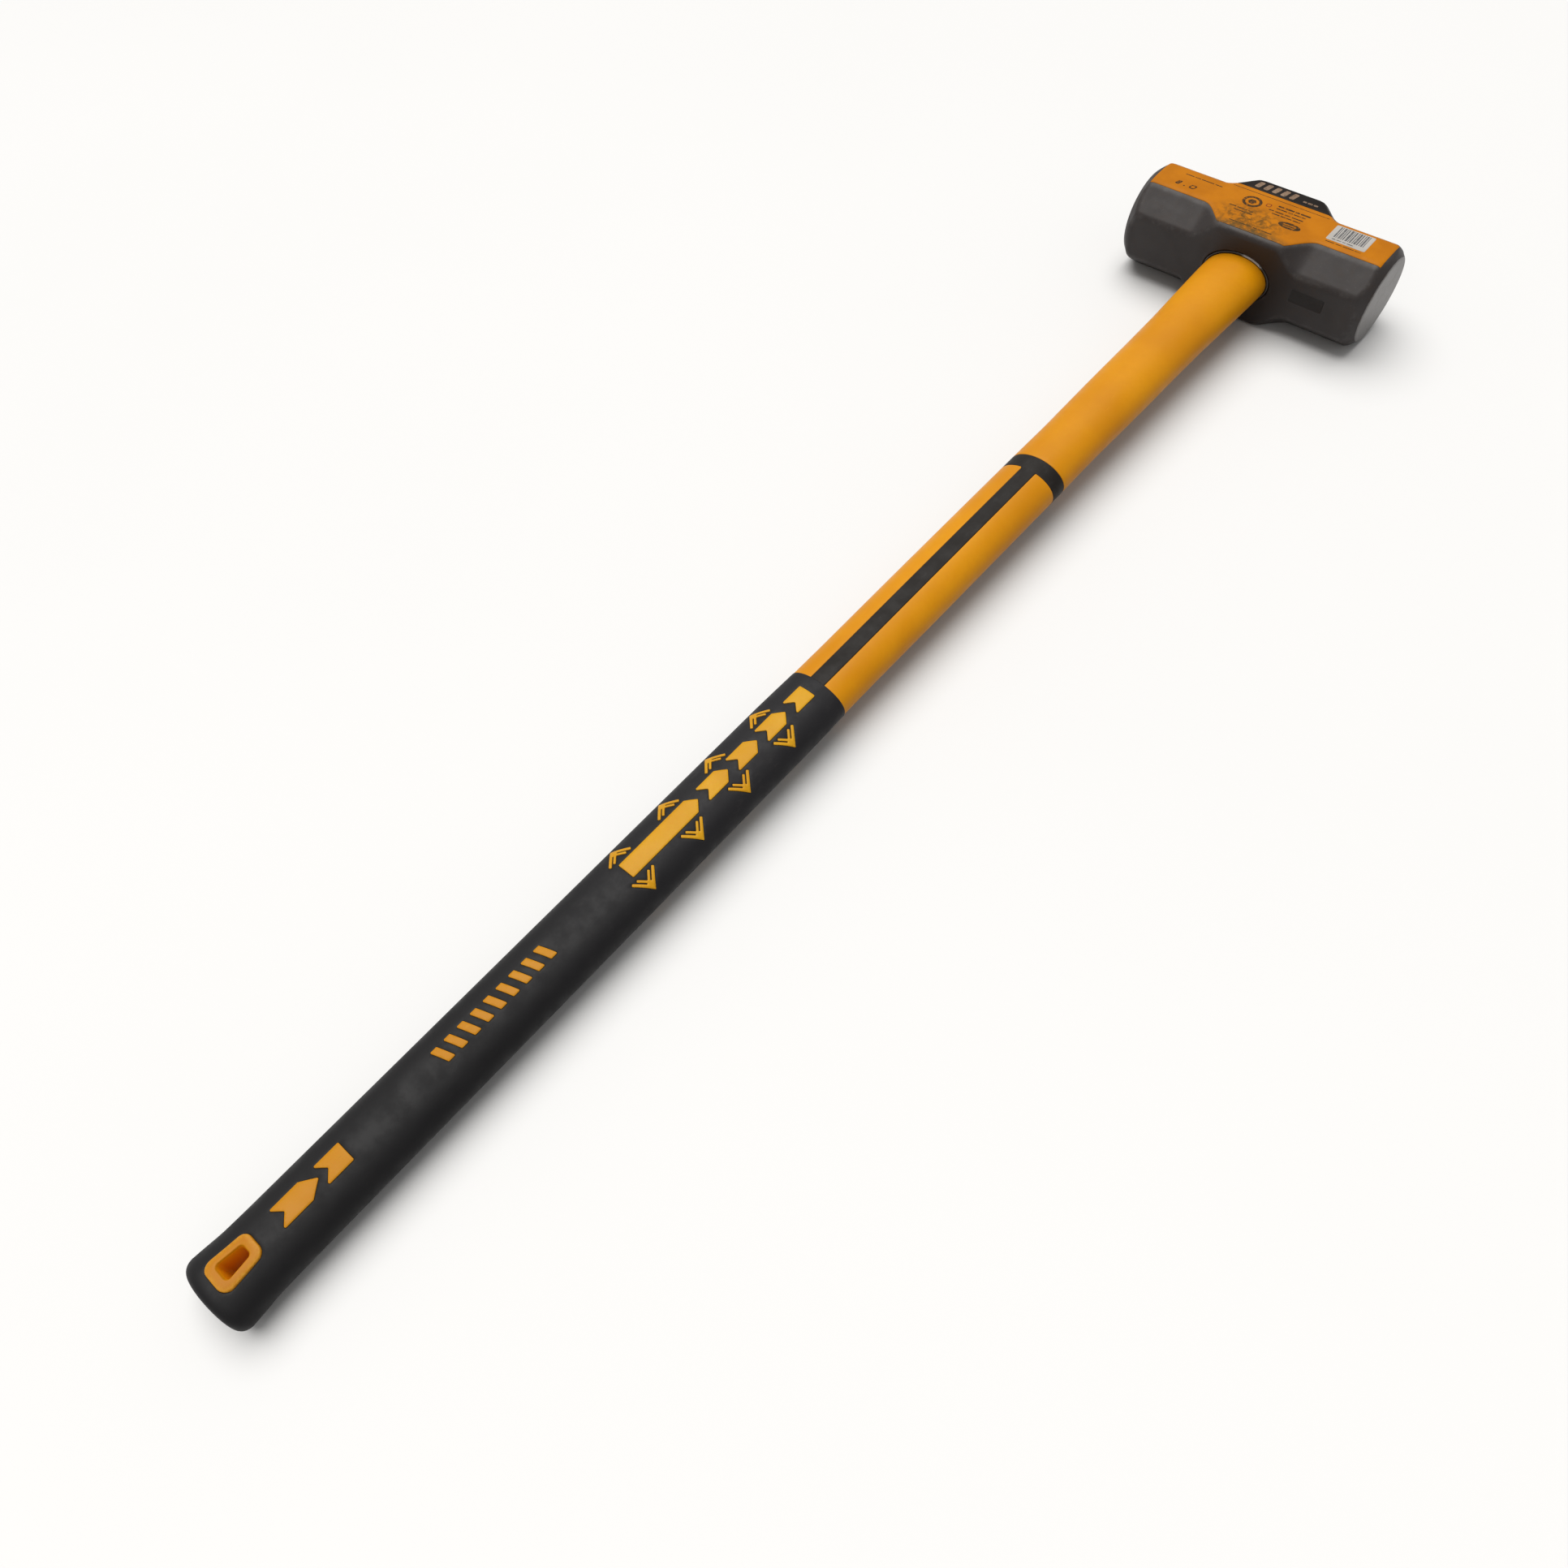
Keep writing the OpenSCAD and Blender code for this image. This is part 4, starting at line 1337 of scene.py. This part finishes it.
def paper(name, outline, lift, prints, materials, replaced, spacing=1.6):
    """A thin sheet that follows the cheek. prints is [(material number, [outlines])]."""
    outline = turn_counterclockwise(outline)
    border = grow(outline, -BORDER_HAIR)
    inner = grow(outline, -RIM_W)
    count = len(outline)
    flat = [outline, inner]
    loops = [range(count), range(count, 2 * count)]
    total = 2 * count
    filling = lattice(outline.min(0), outline.max(0), spacing)
    filling = away_from(filling[inside(inner, filling)], inner, SHEET_CLEAR)
    for shape in [shape for _, shapes in prints for shape in shapes]:
        flat.append(shape)
        loops.append(range(total, total + len(shape)))
        total += len(shape)
        filling = away_from(filling, shape, MARK_CLEAR)
    flat = np.vstack([*flat, filling])
    found = triangles(flat, loops)
    found = found[inside(border, flat[found].mean(1))]
    chosen = np.zeros(len(found), int)
    for number, shapes in prints:
        odd = np.zeros(len(found), bool)
        for shape in shapes:
            odd ^= inside(shape, flat[found].mean(1))
        chosen[odd] = number
    rise = np.full(len(flat), lift)
    rise[:count] -= RIM_DROP
    top = np.column_stack([flat, cheek_z(flat) + rise])
    base = np.column_stack([outline, cheek_z(outline) - SHEET_SUNK])
    under = filled(outline, border) + len(flat)
    wall = wall_faces(range(count), range(len(flat), len(flat) + count))
    indices = [*chosen.tolist(), *[0] * (len(under) + count)]
    make_piece(name, np.vstack([top, base]), [*found.tolist(), *under.tolist(), *wall], materials,
               [replaced], face_materials=indices, sharp_deg=50, weld=False)


# Lines of print on the label: (x, y, lengths of the words, height).
PRINT_LINES = [(1.2, 7.2, (4.2, 6.3, 3.1, 6.8), 1.5), (1.2, 4.4, (7.6, 3.2, 8.4), 1.0),
               (-2.4, 1.0, (3.6, 6.1, 4.3, 7.9), 1.0), (1.2, -1.6, (5.4, 7.7, 5.2), 1.0),
               (-66, 5.9, (6.5, 4.2, 9.1, 5.3), 0.8), (-26, -7.4, (5.1, 7.2, 3.4), 0.9),
               (-21, -10.2, (8.3, 4.0), 0.9), (-18, -21.5, (6.2, 9.4, 5.1, 7.3), 0.9),
               (42, -8.4, (6.2, 4.1, 7.3, 3.9), 0.7)]
DARK_INK, RED_INK = 1, 2


def label_prints():
    """Plain marks in place of the label's print: rings, an oval, squares, lines and a rule."""
    ring = [oval_mark(-15, 2.5, 6.6, 5.8), oval_mark(-15, 2.5, 4.6, 3.9)]
    dot = [oval_mark(-15, 2.5, 3.0, 2.6, 6)]
    badge = [oval_mark(17, -8, 7.6, 3.3), box_mark(17, -7.2, 9.0, 0.7), box_mark(17, -9.1, 8.0, 0.6)]
    red_square = [box_mark(-4.3, 4.6, 3.6, 3.4), box_mark(-4.3, 4.6, 2.4, 2.2)]
    block = [box_mark(-65.0, -4.6, 3.0, 4.4, 0.7)]
    point = [box_mark(-60.3, -6.2, 1.1, 1.1)]
    hollow_block = [box_mark(-54.5, -4.6, 4.4, 4.4, 0.7), box_mark(-54.5, -4.6, 2.6, 2.4, 0.4)]
    prints = [(DARK_INK, shapes) for shapes in (ring, dot, badge)] + [(RED_INK, red_square)]
    prints += [(DARK_INK, shapes) for shapes in (block, point, hollow_block)]
    for line in PRINT_LINES:
        prints += [(DARK_INK, shapes) for shapes in line_of_marks(*line)]
    return prints + [(DARK_INK, [box_mark(0, 12.4, 68, 0.5)])]


def band_prints():
    """Five plain pale blocks and a short line beside them."""
    blocks = [[box_mark(-20 + 6.1 * i, 21.4, 3.6, 6.6, 0.9)] for i in range(5)]
    return [(1, shapes) for shapes in blocks + line_of_marks(11.5, 20.0, (2.6, 3.4, 2.9), 1.6)]


BARCODE = (0.9, 0.5, 1.3, 0.6, 0.8, 1.5, 0.5, 1.0, 0.6, 1.3, 0.8, 0.6, 1.1, 0.5)
BARCODE_GAPS = (0.55, 0.8, 0.5)


def sticker_prints(x, y, w, h):
    """Bars of mixed widths, which encode nothing, over a short line."""
    shapes = []
    bar_x = x - w / 2 + 3.2
    for i, bar in enumerate(BARCODE):
        shapes.append([box_mark(bar_x + bar / 2, y + 0.09 * h, bar, h * 0.72)])
        bar_x += bar + BARCODE_GAPS[i % 3]
    shapes += line_of_marks(x - w / 2 + 3.4, y - 0.39 * h, (2.4, 3.3, 2.1, 4.2), 0.8)
    return [(1, shape) for shape in shapes]


def build_labels():
    paper("cheek_paper", cheek_outline(LABEL_END, -BEYOND, BAND_Y, 0.5), LABEL_T, label_prints(),
          [PAPER_FINISH, INK_FINISH, RED_FINISH], "cheek_label")
    band_end = BLOCK_HALF + RUNOUT * 0.78
    paper("block_band", cheek_outline(band_end, BAND_Y + BAND_GAP, BEYOND, 0.4), LABEL_T,
          band_prints(), [BAND_FINISH, BLOCK_FINISH], "title_band")
    low, high = node_box("barcode_sticker")
    sticker = (*((low + high) / 2 - HEAD_MID)[:2], *(high - low)[:2])
    paper("price_sticker", box_mark(*sticker, corner=0.9), LABEL_T + STICKER_LIFT, sticker_prints(*sticker),
          [STICKER_FINISH, STICKER_INK_FINISH], "barcode_sticker", 1.2)


# ---------- floor, light and camera

FLOOR_HALF = 6000.0
WORLD_COLOUR = (1.0, 0.995, 0.985, 1)
WORLD_STRENGTH = 0.45
SUN_COLOUR = (1, 0.985, 0.96)
SUN_ENERGY = 4.3
SUN_SPREAD_DEG = 62
SUN_AIM = (0.30, -0.12, -1)
FILL_POWER = 2.5
FILL_SIZE = (1.2, 0.9)
FILL_COLOUR = (1, 0.98, 0.95)
FILL_PLACE = Vector((0.2, -1.6, 1.3))
FILL_TARGET = Vector((0, 0.2, 0))
CAMERA_FROM_HEAD = (254.97, -747.85, 518.69)
CAMERA_TURN = (29.6305, 4.9973, 41.5135)
LENS_MM = 26.742
SENSOR_MM = 36.0
SHIFT = (0.0272, 0.0311)

# The hammer lies on the block's lower edge at the handle's side and on the butt.
pivot_y = -(HALF_W - BLOCK_EDGE_R)
butt_low = -(BUTT_HALF * OVAL + RIM_PROUD * 0.9)
lean = (butt_low + HALF_H) / (pivot_y + HOLE_D + 6)
scene = bpy.context.scene


def lay_floor():
    """A wide plain floor under the block's lower edge and the butt."""
    corners = [(side * FLOOR_HALF, end * FLOOR_HALF) for side, end in ((-1, -1), (1, -1), (1, 1), (-1, 1))]
    points = [(x, y, -HALF_H + (pivot_y - y) * lean) for x, y in corners]
    floor = link_mesh("floor", mesh_from("floor", points, [(0, 1, 2, 3)]))
    ground = Finish("pale_floor", Specular_IOR_Level=0.1, Roughness=0.85)
    ground.to_shader(Base_Color=ground.mix(ground.noise(400, 3), (0.545, 0.545, 0.545), (0.56, 0.56, 0.56)))
    floor.data.materials.append(ground.material)


def hang_lamp(name, data, aim):
    """Puts a light in the scene and turns it along aim."""
    lamp = bpy.data.objects.new(name, data)
    lamp.rotation_mode = "QUATERNION"
    lamp.rotation_quaternion = Vector(aim).to_track_quat("-Z", "Y")
    scene.collection.objects.link(lamp)
    return lamp


def light_studio():
    """An even pale world, a wide soft sun from above and a weak fill from the front."""
    scene.view_settings.view_transform = "Standard"
    scene.world = bpy.data.worlds.new("studio")
    scene.world.use_nodes = True
    background = scene.world.node_tree.nodes["Background"]
    background.inputs["Color"].default_value = WORLD_COLOUR
    background.inputs["Strength"].default_value = WORLD_STRENGTH
    sky = bpy.data.lights.new("overhead", "SUN")
    sky.energy = SUN_ENERGY
    sky.angle = math.radians(SUN_SPREAD_DEG)
    sky.color = SUN_COLOUR
    hang_lamp("overhead", sky, SUN_AIM)
    fill = bpy.data.lights.new("front_fill", "AREA")
    fill.shape = "RECTANGLE"
    fill.size, fill.size_y = FILL_SIZE
    fill.energy = FILL_POWER
    fill.color = FILL_COLOUR
    hang_lamp("front_fill", fill, FILL_TARGET - FILL_PLACE).location = FILL_PLACE


def set_camera():
    """The photo's point of view, worked out round the middle of the head."""
    camera = bpy.data.objects.new("camera", bpy.data.cameras.new("camera"))
    camera.location = (np.array(CAMERA_FROM_HEAD) + HEAD_MID) * MM
    camera.rotation_euler = [math.radians(a) for a in CAMERA_TURN]
    camera.data.sensor_width = SENSOR_MM
    camera.data.lens = LENS_MM
    camera.data.shift_x, camera.data.shift_y = SHIFT
    camera.data.clip_start, camera.data.clip_end = 0.01, 50.0
    scene.collection.objects.link(camera)
    scene.camera = camera


for build in (build_head, build_jacket, dress_core, build_ring, build_stripes, build_lands, build_grip,
              build_sleeve, build_resin, build_bead, build_labels, lay_floor, light_studio, set_camera):
    build()
